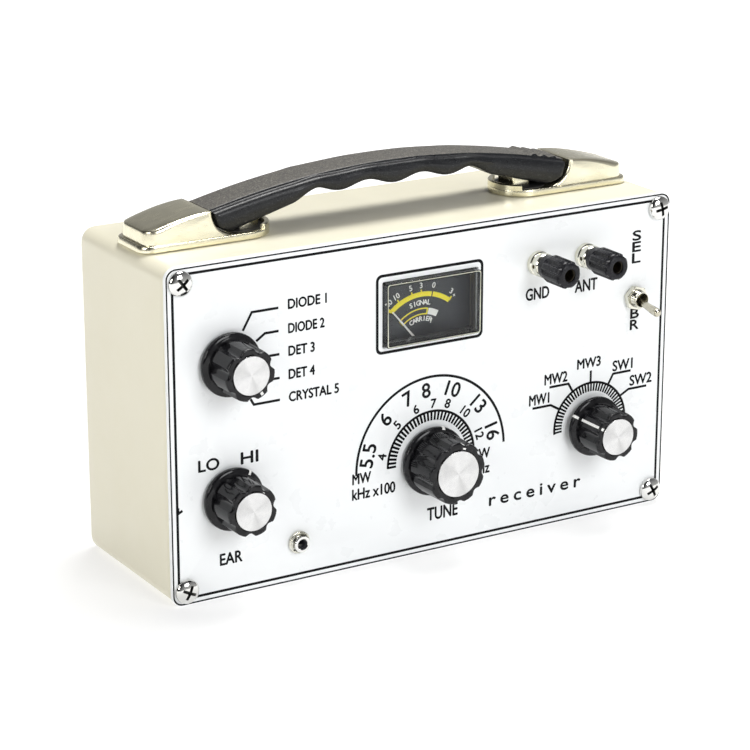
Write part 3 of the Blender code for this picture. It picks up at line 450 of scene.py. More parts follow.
def circle(r, cx=0.0, cy=0.0, sides=48):
    return [(cx + r * math.cos(2 * math.pi * k / sides), cy + r * math.sin(2 * math.pi * k / sides)) for k in range(sides)]


def box(x0, x1, y0, y1, z0, z1, soft=0.0):
    bm = bmesh.new()
    bmesh.ops.create_cube(bm, size=1.0)
    for v in bm.verts:
        v.co = (x0 if v.co.x < 0 else x1, y0 if v.co.y < 0 else y1, z0 if v.co.z < 0 else z1)
    if soft:
        bmesh.ops.bevel(bm, geom=list(bm.edges), offset=soft, segments=2, profile=0.5, affect="EDGES")
    return bm


def merged(*parts):
    whole = bmesh.new()
    for bm in parts:
        mesh = bpy.data.meshes.new("temp")
        bm.to_mesh(mesh)
        bm.free()
        whole.from_mesh(mesh)
        bpy.data.meshes.remove(mesh)
    return whole


def moved(bm, x=0.0, y=0.0, z=0.0, turn=None):
    if turn is not None:
        bmesh.ops.rotate(bm, cent=(0, 0, 0), matrix=turn, verts=bm.verts)
    bmesh.ops.translate(bm, vec=(x, y, z), verts=bm.verts)
    return bm


def smooth(mesh, angle):
    mesh.shade_smooth()
    mesh.set_sharp_from_angle(angle=math.radians(angle))


def build(name, bm, mats, location=(0, 0, 0), rotation=(0, 0, 0), angle=35.0, recalc=True):
    """A bmesh in millimetres as a linked object in metres."""
    bmesh.ops.scale(bm, vec=(MM, MM, MM), verts=bm.verts)
    if recalc:
        bmesh.ops.recalc_face_normals(bm, faces=bm.faces)
    mesh = bpy.data.meshes.new(name)
    bm.to_mesh(mesh)
    bm.free()
    for mat in mats if isinstance(mats, (list, tuple)) else [mats]:
        mesh.materials.append(mat)
    smooth(mesh, angle)
    obj = bpy.data.objects.new(name, mesh)
    bpy.context.scene.collection.objects.link(obj)
    obj.location = location
    obj.rotation_euler = rotation
    return obj


def settle(obj, angle=35.0):
    """Applies an object's modifiers."""
    graph = bpy.context.evaluated_depsgraph_get()
    mesh = bpy.data.meshes.new_from_object(obj.evaluated_get(graph))
    obj.modifiers.clear()
    old = obj.data
    obj.data = mesh
    bpy.data.meshes.remove(old)
    smooth(mesh, angle)
    return obj


def cut(obj, *cutters, operation="DIFFERENCE", angle=35.0):
    for cutter in cutters:
        mod = obj.modifiers.new("cut", "BOOLEAN")
        mod.operation = operation
        mod.object = cutter
        mod.solver = "EXACT"
    settle(obj, angle)
    for cutter in cutters:
        bpy.data.objects.remove(cutter, do_unlink=True)
    return obj


def stand_for(obj, *nodes, body=None, slot=None):
    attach(obj, body or body_of[nodes[0]])
    if nodes:
        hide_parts(*nodes)
    return obj


def plate(name, outlines, thickness, edge, mat, location, rotation=FRONT, steps=1):
    """A flat plate with holes: the first outline is its edge, the others are
    holes. Its corners are rounded over by edge. It lies from 0 to thickness
    along local -Z."""
    curve = bpy.data.curves.new(name, "CURVE")
    curve.dimensions = "2D"
    curve.fill_mode = "BOTH"
    for outline in outlines:
        spline = curve.splines.new("POLY")
        spline.points.add(len(outline) - 1)
        for point, (x, y) in zip(spline.points, outline):
            point.co = (x, y, 0.0, 1.0)
        spline.use_cyclic_u = True
    curve.extrude = thickness / 2 - edge
    curve.bevel_depth = edge
    curve.bevel_resolution = steps
    curve.offset = -edge
    holder = bpy.data.objects.new(name + "_line", curve)
    bpy.context.scene.collection.objects.link(holder)
    bpy.context.view_layer.update()
    bm = bmesh.new()
    mesh = holder.to_mesh()
    bm.from_mesh(mesh)
    holder.to_mesh_clear()
    bpy.data.objects.remove(holder, do_unlink=True)
    bpy.data.curves.remove(curve)
    bmesh.ops.remove_doubles(bm, verts=bm.verts, dist=1e-4)
    bmesh.ops.translate(bm, vec=(0, 0, -thickness / 2), verts=bm.verts)
    return build(name, bm, mat, location, rotation, 30)


# ------------------------------------------------------------- printed marks
def stroke(points, width, low=INK[0], high=INK[1]):
    """A printed line of even width through the points, mitred at its bends."""
    rings = []
    for i, (x, y) in enumerate(points):
        ahead = points[min(i + 1, len(points) - 1)]
        behind = points[max(i - 1, 0)]
        d1 = Vector((x - behind[0], y - behind[1]))
        d2 = Vector((ahead[0] - x, ahead[1] - y))
        d1 = d1.normalized() if d1.length > 1e-9 else d2.normalized()
        d2 = d2.normalized() if d2.length > 1e-9 else d1
        n1, n2 = Vector((-d1.y, d1.x)), Vector((-d2.y, d2.x))
        n = (n1 + n2).normalized()
        reach_out = width / 2 / max(0.4, n.dot(n1))
        ax, ay, bx, by = x + n.x * reach_out, y + n.y * reach_out, x - n.x * reach_out, y - n.y * reach_out
        rings.append([(ax, ay, low), (bx, by, low), (bx, by, high), (ax, ay, high)])
    return loft(rings)


def arc(cx, cy, r, start, end, steps=48):
    return [
        (cx + r * math.cos(math.radians(start + (end - start) * k / steps)), cy + r * math.sin(math.radians(start + (end - start) * k / steps)))
        for k in range(steps + 1)
    ]


def ray(cx, cy, angle, r0, r1, width, low=INK[0], high=INK[1]):
    c, s = math.cos(math.radians(angle)), math.sin(math.radians(angle))
    return stroke([(cx + r0 * c, cy + r0 * s), (cx + r1 * c, cy + r1 * s)], width, low, high)


def band(points, inner, low=INK[0], high=INK[1]):
    """A printed frame between two outlines with the same number of points."""
    rings = []
    for (ax, ay), (bx, by) in zip(points, inner):
        rings.append([(ax, ay, low), (bx, by, low), (bx, by, high), (ax, ay, high)])
    return loft(rings, closed=True)


def text(words, cx, cy, tall, wide=None, turn=0.0, heavy=0.14, space=1.0, low=INK[0], high=INK[1]):
    """Printed lettering, tall and wide in mm, centred on cx, cy."""
    curve = bpy.data.curves.new("lettering", "FONT")
    curve.body = words
    curve.size = 1.0
    curve.extrude = 0.01
    curve.space_character = space
    curve.resolution_u = 4
    holder = bpy.data.objects.new("lettering", curve)
    bpy.context.scene.collection.objects.link(holder)
    bpy.context.view_layer.update()
    bm = bmesh.new()
    mesh = holder.to_mesh()
    bm.from_mesh(mesh)
    holder.to_mesh_clear()
    bpy.data.objects.remove(holder, do_unlink=True)
    bpy.data.curves.remove(curve)
    bmesh.ops.remove_doubles(bm, verts=bm.verts, dist=1e-5)
    xs = [v.co.x for v in bm.verts]
    ys = [v.co.y for v in bm.verts]
    scale_y = tall / (max(ys) - min(ys))
    scale_x = wide / (max(xs) - min(xs)) if wide else scale_y
    mid_x, mid_y = (max(xs) + min(xs)) / 2, (max(ys) + min(ys)) / 2
    c, s = math.cos(math.radians(turn)), math.sin(math.radians(turn))
    for v in bm.verts:
        x, y = (v.co.x - mid_x) * scale_x, (v.co.y - mid_y) * scale_y
        v.co = (cx + x * c - y * s, cy + x * s + y * c, high if v.co.z > 0 else low)
    # The ink has spread to a heavier weight: four passes, each a little lower.
    passes = [bm]
    for k, (ox, oy) in enumerate(((heavy, 0), (-heavy, 0), (0, heavy), (0, -heavy)), 1):
        again = bm.copy()
        for v in again.verts:
            v.co.x += ox
            v.co.y += oy
            if abs(v.co.z - high) < 1e-6:
                v.co.z -= 0.004 * k
        passes.append(again)
    return merged(*passes)


# ------------------------------------------------------------------- the case
case_lo, case_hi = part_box("case_shell")
DEPTH = (case_hi.y - FRONT_Y) / MM
CASE_R, LIP_R, WALL = 5.0, 1.8, 1.2
MOUTH_INSET = 7.0
lip_y = (case_lo.y - FRONT_Y) / MM
rings = []


def case_ring(inset, y, r):
    rings.append([(x, y, z) for x, z in rounded_rect(PW - 2 * inset, PH - 2 * inset, max(r, 0.4), 8)])


for k in range(9):
    a = math.radians(90.0 * k / 8)
    case_ring(CASE_R * (1 - math.sin(a)), DEPTH - CASE_R + CASE_R * math.cos(a), 2.8 + 2.2 * math.sin(a))
for share in (0.66, 0.33):
    case_ring(0.0, lip_y + LIP_R + (DEPTH - CASE_R - lip_y - LIP_R) * share, CASE_R)
for k in range(7):
    a = math.radians(90.0 * k / 6)
    case_ring(1.35 * (1 - math.cos(a)), lip_y + LIP_R * (1 - math.sin(a)), CASE_R - 1.2 * (1 - math.cos(a)))
case_ring(MOUTH_INSET, lip_y, 7.0)
case_ring(MOUTH_INSET, lip_y + WALL, 7.0)
case_ring(WALL, lip_y + WALL, CASE_R - WALL)
case_ring(WALL, DEPTH - CASE_R, CASE_R - WALL)
for k in range(1, 7):
    a = math.radians(90.0 * k / 6)
    reach_in = (CASE_R - WALL) * (1 - math.cos(a))
    case_ring(WALL + reach_in, DEPTH - CASE_R + (CASE_R - WALL) * math.sin(a), 3.8 - 1.6 * (1 - math.cos(a)))
case = build("case_pressing", loft(rings), CREAM, at(0, 0, 0), angle=50)
stand_for(case, "case_shell")

# ------------------------------------------------------------------ the panel
controls = {
    "diode": spot("diode_switch_shaft"), "phones": spot("phones_switch_shaft"),
    "tuning": spot("tuning_shaft"), "band": spot("band_switch_shaft"),
}
jack = spot("phone_jack_nut")
toggle = spot("toggle_nut")
ground, antenna = spot("ground_post_stud"), spot("antenna_post_stud")
window_lo, window_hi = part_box("meter_window")
METER_X, METER_Z, METER_W, METER_H = 0.1, 30.45, 38.2, 23.1
SCREWS = [spot(f"panel_screw_{k}") for k in (1, 2, 3, 4)]

holes = [circle(4.8, *controls[c]) for c in controls]
holes += [circle(1.9, *p, 24) for p in SCREWS]
holes += [circle(3.3, *p, 32) for p in (jack, toggle)] + [circle(2.5, *p, 32) for p in (ground, antenna)]
holes.append(rounded_rect(METER_W, METER_H, 0.6, 4, METER_X, METER_Z))
panel = plate(
    "front_panel_sheet", [rounded_rect(PW - 0.02, PH - 0.02, 3.8, 10)] + holes, PT, 0.22, WHITE, at(0, 0, 0), steps=2,
)
stand_for(panel, "front_panel")

# Border lines and leaders.
marks = [
    band(rounded_rect(PW - 0.5, PH - 0.5, 3.6, 8), rounded_rect(PW - 1.5, PH - 1.5, 3.2, 8)),
    band(rounded_rect(195.9, 112.1, 0.9, 4), rounded_rect(194.1, 110.3, 0.3, 4)),
    stroke([(-97.2, -23.2), (-97.2, -25.2), (-95.6, -24.4)], 0.9),
]
dx, dz = controls["diode"]
line = 0.86
for points in (
    [(5.5, 10.1), (8.9, 15.9), (18.8, 15.9)], [(10.4, 5.8), (13.7, 8.0), (18.8, 8.0)], [(10.8, 0.0), (19.0, 0.0)],
    [(8.0, -8.2), (19.0, -8.2)], [(8.0, -13.7), (9.2, -15.8), (19.0, -15.8)],
):
    marks.append(stroke([(dx + x, dz + z) for x, z in points], line))
bx, bz = controls["band"]
for points in (
    [(-13.1, 7.5), (-17.1, 9.8), (-24.8, 9.8)], [(-7.6, 13.1), (-9.6, 16.5), (-17.7, 16.5)], [(0.0, 15.0), (0.0, 19.8)],
    [(7.6, 13.2), (9.8, 17.0), (17.5, 17.0)], [(13.1, 8.2), (16.8, 10.1), (24.7, 10.1)],
):
    marks.append(stroke([(bx + x, bz + z) for x, z in points], line))
marks.append(stroke(arc(bx, bz, 15.3, 186, -4, 60), 0.85))
for k in range(38):
    marks.append(ray(bx, bz, 184 - 5 * k, 12.1, 15.3, 0.72))
tx, tz = controls["tuning"]
marks.append(stroke(arc(tx, tz, 30.0, 181, 2, 72), 0.92))
marks.append(stroke(arc(tx, tz, 17.5, 181, 0, 72), 0.85))
for k in range(37):
    marks.append(ray(tx, tz, 180 - 5 * k, 14.2, 17.5, 0.82))
marks.append(band(rounded_rect(42.8, 27.9, 2.2, 6, -0.25, 30.8), rounded_rect(40.8, 25.9, 1.4, 6, -0.25, 30.8)))
lines = build("panel_border_and_scales", merged(*marks), BLACK_INK, at(0, 0, 0), FRONT, 30)
stand_for(lines, body="root", slot="panel_white")

letters = []
for words, z, wide in (
    ("DIODE 1", 40.0, 14.5), ("DIODE 2", 31.7, 13.6), ("DET 3", 23.9, 9.8), ("DET 4", 15.9, 9.8), ("CRYSTAL 5", 8.0, 19.0),
):
    letters.append(text(words, -57.4 + wide / 2 + 2.2, z, 3.3, wide))
letters += [
    text("LO", -85.6, -10.3, 4.0, 7.6), text("HI", -70.4, -10.3, 4.0, 6.4),
    text("EAR", -77.9, -44.5, 4.0, 8.3),
    text("MW", -27.3, -25.9, 3.7, 7.2), text("kHz x100", -22.5, -31.4, 3.9, 17.0),
    text("SW", 21.6, -25.9, 3.7, 6.4), text("MHz", 20.6, -31.4, 3.8, 8.2),
    text("TUNE", 5.4, -44.4, 4.6, 12.4), text("receiver", 44.4, -44.0, 4.2, 39.0, space=1.45),
    text("GND", 43.8, 28.9, 4.2, 9.6), text("ANT", 64.4, 28.9, 4.2, 9.4),
    text("MW1", 45.4, -10.1, 3.8, 8.4), text("MW2", 52.4, -3.4, 3.8, 9.6),
    text("MW3", 66.5, 0.0, 3.6, 10.0), text("SW1", 81.3, -3.1, 3.8, 8.6),
    text("SW2", 89.5, -9.8, 3.8, 9.6),
]
for letter, z in (("S", 43.9), ("E", 39.8), ("L", 35.7), ("B", 15.3), ("R", 11.1)):
    letters.append(text(letter, 85.9, z, 3.5, 3.6))
for number, angle, r, tall in (
    ("5.5", 167, 26.0, 5.2), ("6", 136, 25.6, 5.2), ("7", 112, 25.4, 5.2), ("8", 95, 25.4, 5.2), ("10", 70, 25.6, 5.2), ("13", 41, 25.6, 5.2), ("16", 13, 25.8, 5.2),
    ("4", 167.5, 20.3, 3.2), ("5", 132.6, 20.3, 3.2), ("6", 108, 20.2, 3.2), ("7", 87.7, 20.2, 3.2), ("8", 71, 20.3, 3.2), ("10", 47, 20.4, 3.2), ("12", 16.5, 20.6, 3.2),
):
    a = math.radians(angle)
    letters.append(text(number, tx + r * math.cos(a), tz + r * math.sin(a), tall, turn=angle - 90))
lettering = build("panel_lettering", merged(*letters), BLACK_INK, at(0, 0, 0), FRONT, 30)
stand_for(lettering, body="root", slot="panel_white")

# ------------------------------------------------------------- panel fasteners
for index, ((sx, sz), spin) in enumerate(zip(SCREWS, (38, 12, 64, 27)), 1):
    path = [(0, -9.0), (1.6, -9.0), (1.6, 0.12), (3.9, 0.12), (4.15, 0.25), (4.25, 0.5), (4.25, 0.85)]
    path += [(4.25 - 4.25 * (1 - math.cos(math.radians(a))) , 0.85 + 1.93 * math.sin(math.radians(a))) for a in (12, 24, 36, 48, 60, 72, 82)]
    path.append((0, 2.78))
    head = build(f"panel_screw_head_{index}", turned(path, 48), [CHROME, RECESS_SHADE], at(sx, 0, sz), FRONT, 40)
    arms = []
    for scale, h in ((0.55, 0.9), (1.0, 2.1), (1.15, 4.0)):
        arm, half = 2.5 * scale, 0.5 * scale
        plus = [
            (arm, -half), (arm, half), (half, half), (half, arm), (-half, arm), (-half, half),
            (-arm, half), (-arm, -half), (-half, -half), (-half, -arm), (half, -arm), (half, -half),
        ]
        c, s = math.cos(math.radians(spin)), math.sin(math.radians(spin))
        arms.append([(x * c - y * s, x * s + y * c, h) for x, y in plus])
    # The cutter's faces carry the dark second finish, so the cut recess walls come out in painted shade.
    cross = loft(arms)
    for face in cross.faces:
        face.material_index = 1
    recess = build(f"screw_recess_{index}", cross, [CHROME, RECESS_SHADE], at(sx, 0, sz), FRONT)
    cut(head, recess, angle=38)
    stand_for(head, f"panel_screw_{index}")


# ------------------------------------------------------------------ the knobs
def lobe_drop(a, h, lobes, phase, lobe_r, flute, low_end):
    """How far a point of the fluted body lies inside the lobes' radius: broad
    lobes with rounded lower ends, and scooped hollows between them."""
    pitch = 2 * math.pi / lobes
    s = (a - math.radians(phase)) / pitch
    s = abs(s - round(s))
    across = max(0.0, s - 0.26) * pitch * lobe_r
    below = max(0.0, low_end - h)
    d = math.hypot(across, below)
    t = min(1.0, d / (0.24 * pitch * lobe_r))
    crown = -0.05 * math.cos(math.pi * min(s, 0.26) / 0.52) if d == 0 else 0.0
    return flute * (1 - (1 - t) ** 2) + crown


def make_knob(node, where, lobes, phase, pointer, width, foot_h, top_h, skirt_r, lobe_r, flute, cap_r):
    x, z = where
    face = top_h - 0.4
    low_end = foot_h + 3.9
    side_top = face - 0.75

    def side(h):
        return lobe_r - 0.2 * max(0.0, h - foot_h - 2.5) / (side_top - foot_h - 2.5)

    def shape(a, r, h):
        if foot_h + 2.45 < h < face + 0.01 and r > cap_r + 0.35:
            return r - lobe_drop(a, h, lobes, phase, lobe_r, flute, low_end)
        return r

    path = [(0, face - 3.2), (3.3, face - 3.2), (3.3, foot_h + 3.6), (8.0, foot_h + 3.6), (8.0, foot_h + 0.2), (8.2, foot_h)]
    path += [(skirt_r - 0.45, foot_h), (skirt_r - 0.12, foot_h + 0.12), (skirt_r, foot_h + 0.45), (skirt_r, foot_h + 1.35)]
    path += [(skirt_r - 0.1, foot_h + 1.7), (skirt_r - 0.4, foot_h + 1.98), (skirt_r - 0.9, foot_h + 2.16)]
    path += [(lobe_r + 0.35, foot_h + 2.3), (lobe_r + 0.08, foot_h + 2.42), (lobe_r, foot_h + 2.5)]
    heights = [2.66, 2.85, 3.1, 3.35, 3.6, 3.9, 4.3, 5.2, 6.8, 8.6, 10.4]
    heights = [foot_h + q for q in heights if foot_h + q < side_top - 0.8] + [side_top - 0.8, side_top]
    path += [(side(h), h) for h in heights]
    path += [(side(side_top) - 0.06, face - 0.45), (side(side_top) - 0.2, face - 0.2), (side(side_top) - 0.42, face - 0.05), (side(side_top) - 0.7, face)]
    path += [(cap_r + 0.42, face), (cap_r + 0.3, face - 0.1), (cap_r + 0.3, face - 0.9), (0, face - 0.9)]
    per = 24
    obj = build(node + "_moulding", turned(path, lobes * per, shape, spin=math.radians(phase)), KNOB, at(x, 0, z), FRONT, 32)
    stand_for(obj, node)

    # Painted pointer: skirt, flank and end face, with a hair's break at each bend.
    drop = lobe_drop(math.radians(pointer), side_top, lobes, phase, lobe_r, flute, low_end)
    runs = [
        [(skirt_r + 0.02, foot_h + 0.5), (skirt_r + 0.02, foot_h + 1.35), (skirt_r - 0.08, foot_h + 1.72), (skirt_r - 0.38, foot_h + 2.0), (skirt_r - 0.9, foot_h + 2.19), (lobe_r + 0.4, foot_h + 2.32)],
        [(side(h) - lobe_drop(math.radians(pointer), h, lobes, phase, lobe_r, flute, low_end), h) for h in heights[1:]],
        [(side(side_top) - 0.75 - drop, face), (cap_r + 0.5, face)],
    ]
    strips = []
    c, s = math.cos(math.radians(pointer)), math.sin(math.radians(pointer))
    for run in runs:
        sections = []
        for i, (r, h) in enumerate(run):
            ahead, behind = run[min(i + 1, len(run) - 1)], run[max(i - 1, 0)]
            along = Vector((ahead[0] - behind[0], ahead[1] - behind[1])).normalized()
            out = Vector((along.y, -along.x))
            section = []
            for u, lift in ((-1, -0.06), (1, -0.06), (1, 0.05), (-1, 0.05)):
                rr, hh = r + out.x * lift, h + out.y * lift
                section.append((rr * c - u * width / 2 * s, rr * s + u * width / 2 * c, hh))
            sections.append(section)
        strips.append(loft(sections))
    paint = build(node + "_pointer", merged(*strips), POINTER, at(x, 0, z), FRONT, 40)
    stand_for(paint, body=body_of[node], slot="needle_white")

    disc = [(0, face - 0.6), (cap_r - 0.1, face - 0.6), (cap_r, face - 0.5), (cap_r, top_h - 0.22), (cap_r - 0.07, top_h - 0.08), (cap_r - 0.3, top_h - 0.02)]
    disc += [(cap_r * q, top_h - 0.02 - 0.05 * (1 - q)) for q in (0.9, 0.7, 0.5, 0.3, 0.12)] + [(0, top_h - 0.07)]
    cap = build(node + "_cap_disc", turned(disc, 96), SPUN, at(x, 0, z), FRONT, 30)
    stand_for(cap, node + "_cap")


def knob_heights(node):
    lo, hi = reach(node)[0], reach(node + "_cap")[1]
    return lo, hi


for node, where, lobes, phase, pointer, width, sizes in (
    ("diode_knob", controls["diode"], 7, -60.0, -60.0, 1.0, (10.9, 9.1, 1.2, 6.6)),
    ("phones_knob", controls["phones"], 7, -20.0, 57.0, 0.8, (10.9, 9.1, 1.2, 6.6)),
    ("band_knob", controls["band"], 7, 150.0, 150.0, 0.95, (10.9, 9.1, 1.2, 6.6)),
    ("tuning_knob", controls["tuning"], 9, 94.5, 74.5, 1.15, (12.3, 11.2, 1.0, 8.15)),
):
    make_knob(node, where, lobes, phase, pointer, width, *knob_heights(node), *sizes)


# ------------------------------------------------------------------ the meter
lo_h, proud = reach("meter_window")
stub_w, stub_h = METER_W - 0.6, METER_H - 0.6
cover = []


def cover_ring(w, h, r, y):
    cover.append([(x, z, -y) for x, z in rounded_rect(w, h, r, 5, METER_X, METER_Z)])


def skirt_ring(inset, y):
    lo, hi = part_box("meter_window")
    x0, x1 = (lo.x - MID_X) / MM + inset, (hi.x - MID_X) / MM - inset
    z0, z1 = (lo.z - MID_Z) / MM + inset, (hi.z - MID_Z) / MM - inset
    cover.append([(x, z, -y) for x, z in rounded_rect(x1 - x0, z1 - z0, 0.5, 5, (x0 + x1) / 2, (z0 + z1) / 2)])


back = -lo_h
cover_ring(stub_w - 2.4, stub_h - 2.4, 0.4, -proud + 1.3)
cover_ring(stub_w - 2.4, stub_h - 2.4, 0.4, PT + 1.5)
skirt_ring(1.2, PT + 1.5)
skirt_ring(1.2, back)
skirt_ring(0.0, back)
skirt_ring(0.0, PT + 0.3)
cover_ring(stub_w, stub_h, 0.8, PT + 0.3)
for k in range(5):
    a = math.radians(90.0 * k / 4)
    inset = 0.45 * (1 - math.cos(a))
    cover_ring(stub_w - 2 * inset, stub_h - 2 * inset, 0.9, -proud + 0.45 - 0.45 * math.sin(a))
cover_obj = build("meter_clear_cover", loft(cover), WINDOW, at(0, 0, 0), FRONT, 25)
stand_for(cover_obj, "meter_window")
# Painted highlight: a pale band on the clear cover's front rim stands in for the bright reflection of its edge.
highlight_band = band(
    rounded_rect(stub_w - 0.5, stub_h - 0.5, 0.8, 5, METER_X, METER_Z), rounded_rect(stub_w - 1.15, stub_h - 1.15, 0.6, 5, METER_X, METER_Z),
    proud - 0.06, proud - 0.0,
)
highlight_band_obj = build("meter_cover_painted_highlight", highlight_band, COVER_EDGE_HIGHLIGHT, at(0, 0, 0), FRONT, 30)
stand_for(highlight_band_obj, body="root", slot="clear_window")

dial_lo, dial_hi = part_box("meter_dial")
dial_face = (dial_lo.y - FRONT_Y) / MM
dial_w, dial_h = (dial_hi.x - dial_lo.x) / MM, (dial_hi.z - dial_lo.z) / MM
dial_x, dial_z = spot("meter_dial")
px, pz = spot("meter_housing")[0], 15.3
dial = plate("meter_dial_plate", [rounded_rect(dial_w, dial_h, 0.8, 4, dial_x, dial_z), circle(2.2, px, pz, 32)], 0.5, 0.08, DIAL, at(0, dial_face, 0))
stand_for(dial, "meter_dial")
# Dark cover strip in front of the pointer's root, held by its two ends.
step = [box(px - 19.0, px + 19.0, 17.2, 20.3, -4.1, -3.3, 0.22)]
step += [box(px + s - 0.6, px + s + 0.6, 17.4, 19.8, -6.25, -3.9, 0.15) for s in (-18.2, 18.2)]
low_strip = build("meter_cover_strip", merged(*step), DIAL_LOW, at(0, 0, 0), FRONT, 40)
stand_for(low_strip, body="root", slot="dial_plate")
R = 18.15
thin = (0.0, 0.05)
yellow = [
    stroke(arc(px, pz, R, 131.5, 77.6, 40), 1.7, *thin), stroke(arc(px, pz, R, 76.0, 53.0, 30), 1.7, *thin),
    ray(px, pz, 131.5, R, R + 2.0, 0.75, *thin), ray(px, pz, 118.5, R, R + 1.8, 0.5, *thin), ray(px, pz, 101.8, R, R + 1.6, 0.5, *thin),
    ray(px, pz, 90.5, R, R + 1.6, 0.5, *thin), ray(px, pz, 53.0, R, R + 1.6, 0.6, *thin),
    stroke(arc(px, pz, R - 5.0, 131.0, 80.0, 30), 0.42, *thin), stroke(arc(px, pz, R - 6.9, 131.0, 80.0, 30), 0.42, *thin),
    ray(px, pz, 131.0, R - 7.1, R - 4.8, 0.5, *thin), ray(px, pz, 80.0, R - 7.1, R - 4.8, 0.5, *thin),
]
yellow_ink = build("meter_scale_yellow", merged(*yellow), YELLOW, at(0, dial_face, 0), FRONT, 30)
stand_for(yellow_ink, body="root", slot="dial_plate")
white = [stroke(arc(px, pz, R - 5.95, 78.0, 60.0, 16), 2.2, *thin)]
for number, angle in (("20", 127.6), ("10", 117.6), ("5", 101.8), ("3", 90.5), ("0", 76.8), ("3", 56.0), ("+", 51.0)):
    a = math.radians(angle)
    rr = R + 3.1 if number != "+" else R + 2.4
    white.append(text(number, px + rr * math.cos(a), pz + rr * math.sin(a), 1.9 if number != "+" else 1.0, turn=angle - 90, heavy=0.045, low=0.0, high=0.05))
for words, angle_mid, r, tall, spread in (("SIGNAL", 92.5, R - 2.85, 1.7, 27.0), ("CARRIER", 92.0, R - 8.5, 1.6, 46.0)):
    for i, letter in enumerate(words):
        angle = angle_mid + spread / 2 - spread * i / (len(words) - 1)
        a = math.radians(angle)
        white.append(text(letter, px + r * math.cos(a), pz + r * math.sin(a), tall, turn=angle - 90, heavy=0.06, low=0.0, high=0.05))
white.append(text("1", px + (R - 8.9) * math.cos(math.radians(66)), pz + (R - 8.9) * math.sin(math.radians(66)), 1.6, turn=-24, heavy=0.05, low=0.0, high=0.05))
white_ink = build("meter_scale_white", merged(*white), NEEDLE, at(0, dial_face, 0), FRONT, 30)
stand_for(white_ink, body="root", slot="dial_plate")

# Pointer: flat tapered blade, hub and a balance tail.
needle_at = at(px, 0, pz)
spin = Matrix.Rotation(math.pi / 2, 3, "X") @ Matrix.Rotation(math.radians(131.0), 3, "Z")
blade = []
for x, half, thick in ((-4.0, 0.62, 0.2), (-3.2, 0.75, 0.25), (-2.2, 0.45, 0.25), (0.0, 0.52, 0.25), (4.0, 0.42, 0.2), (10.0, 0.36, 0.16), (17.4, 0.30, 0.13), (18.6, 0.24, 0.12)):
    blade.append([(x, -half, -5.0 - thick), (x, half, -5.0 - thick), (x, half * 0.8, -5.0 + thick), (x, -half * 0.8, -5.0 + thick)])
hub = [(0, -12.9), (1.5, -12.9), (1.6, -12.7), (1.6, -4.6), (1.5, -4.3), (0.5, -4.2), (0, -4.2)]
needle = build("meter_pointer_blade", merged(loft(blade), turned(hub, 32)), NEEDLE, needle_at, spin.to_euler(), 35)
stand_for(needle, "meter_needle")


# ----------------------------------------------------------- toggle and jack
def thread(r, pitch, low, high, deep=0.18):
    """Outline of a fine thread as rings up a bush."""
    points = []
    h = low
    while h < high - pitch:
        points += [(r, h), (r - deep, h + pitch / 2)]
        h += pitch
    points.append((r, high))
    return points


def hexagon(a, across):
    """Radius of a hexagon with a given width across its corners."""
    part = (a % (math.pi / 3)) - math.pi / 6
    return across / 2 * math.cos(math.pi / 6) / math.cos(part)


def hex_shape(across, turn=0.0):
    def shape(a, r, h):
        full = hexagon(a + turn, across)
        return min(full, r) if r > across * 0.36 else r
    return shape


gx, gz = toggle
tb = -(PT + 0.3)
path = [(0, tb - 3.0), (4.0, tb - 3.0), (4.0, tb), (2.95, tb)] + thread(2.95, 0.55, tb, 4.7) + [(2.8, 5.0), (2.55, 5.0), (2.3, 4.6), (1.9, 1.0), (2.4, -1.0), (2.4, tb - 1.2), (0, tb - 1.2)]
bushing = turned(path, 48)
case_box = box(-4.0, 4.0, -6.5, 6.5, tb - 11.5, tb - 3.0, 0.3)
tags = [box(-0.7, 0.7, q - 0.5, q + 0.5, tb - 15.0, tb - 11.4, 0.08) for q in (-4.5, 0.0, 4.5)]
toggle_body = build("toggle_bushing", merged(bushing, case_box, *tags), NUT_NICKEL, at(gx, 0, gz), FRONT, 30)
stand_for(toggle_body, "toggle_body")
washer = turned([(3.2, 0.06), (4.0, 0.06), (4.1, 0.16), (4.0, 0.3), (3.2, 0.3)], 64, closed=True)
nut = turned([(3.2, 0.32), (4.6, 0.32), (4.75, 0.4), (4.75, 2.0), (4.3, 2.2), (3.3, 2.2), (3.15, 2.0)], 96, hex_shape(9.2, 0.26), closed=True)
toggle_nut = build("toggle_hex_nut", merged(washer, nut), NUT_NICKEL, at(gx, 0, gz), FRONT, 30)
stand_for(toggle_nut, "toggle_nut")
lever = [(0, -1.3), (0.8, -1.25), (1.2, -1.1), (1.45, -0.7), (1.5, -0.3), (1.42, 0.3), (1.25, 1.0), (1.05, 1.9), (1.0, 2.6), (1.05, 4.0), (1.18, 6.0), (1.34, 9.0), (1.48, 11.5), (1.54, 13.0), (1.52, 13.9), (1.38, 14.5), (1.05, 14.9), (0.5, 15.08), (0, 15.1)]
tilt = 10.0
arm = build("toggle_bat_lever", turned(lever, 40), LEVER, at(gx, 0, gz), (math.pi / 2 + math.radians(tilt), 0, 0), 40)
stand_for(arm, "toggle_lever")

jx, jz = jack
path = [(0, tb - 14.0), (4.6, tb - 14.0), (5.2, tb - 13.4), (5.2, tb), (2.95, tb)] + thread(2.95, 0.5, tb, 2.6, 0.15) + [(2.95, 2.9), (2.75, 3.15), (2.5, 3.2), (2.0, 3.2), (1.8, 3.0), (1.8, tb - 12.0), (0, tb - 12.0)]
jack_body = build("jack_socket", turned(path, 48), CHROME, at(jx, 0, jz), FRONT, 30)
stand_for(jack_body, "phone_jack_body")


def knurl(teeth, depth, low, high):
    def shape(a, r, h):
        if r > 3.85 and low < h < high:
            return r - depth * abs(math.sin(a * teeth / 2))
        return r
    return shape


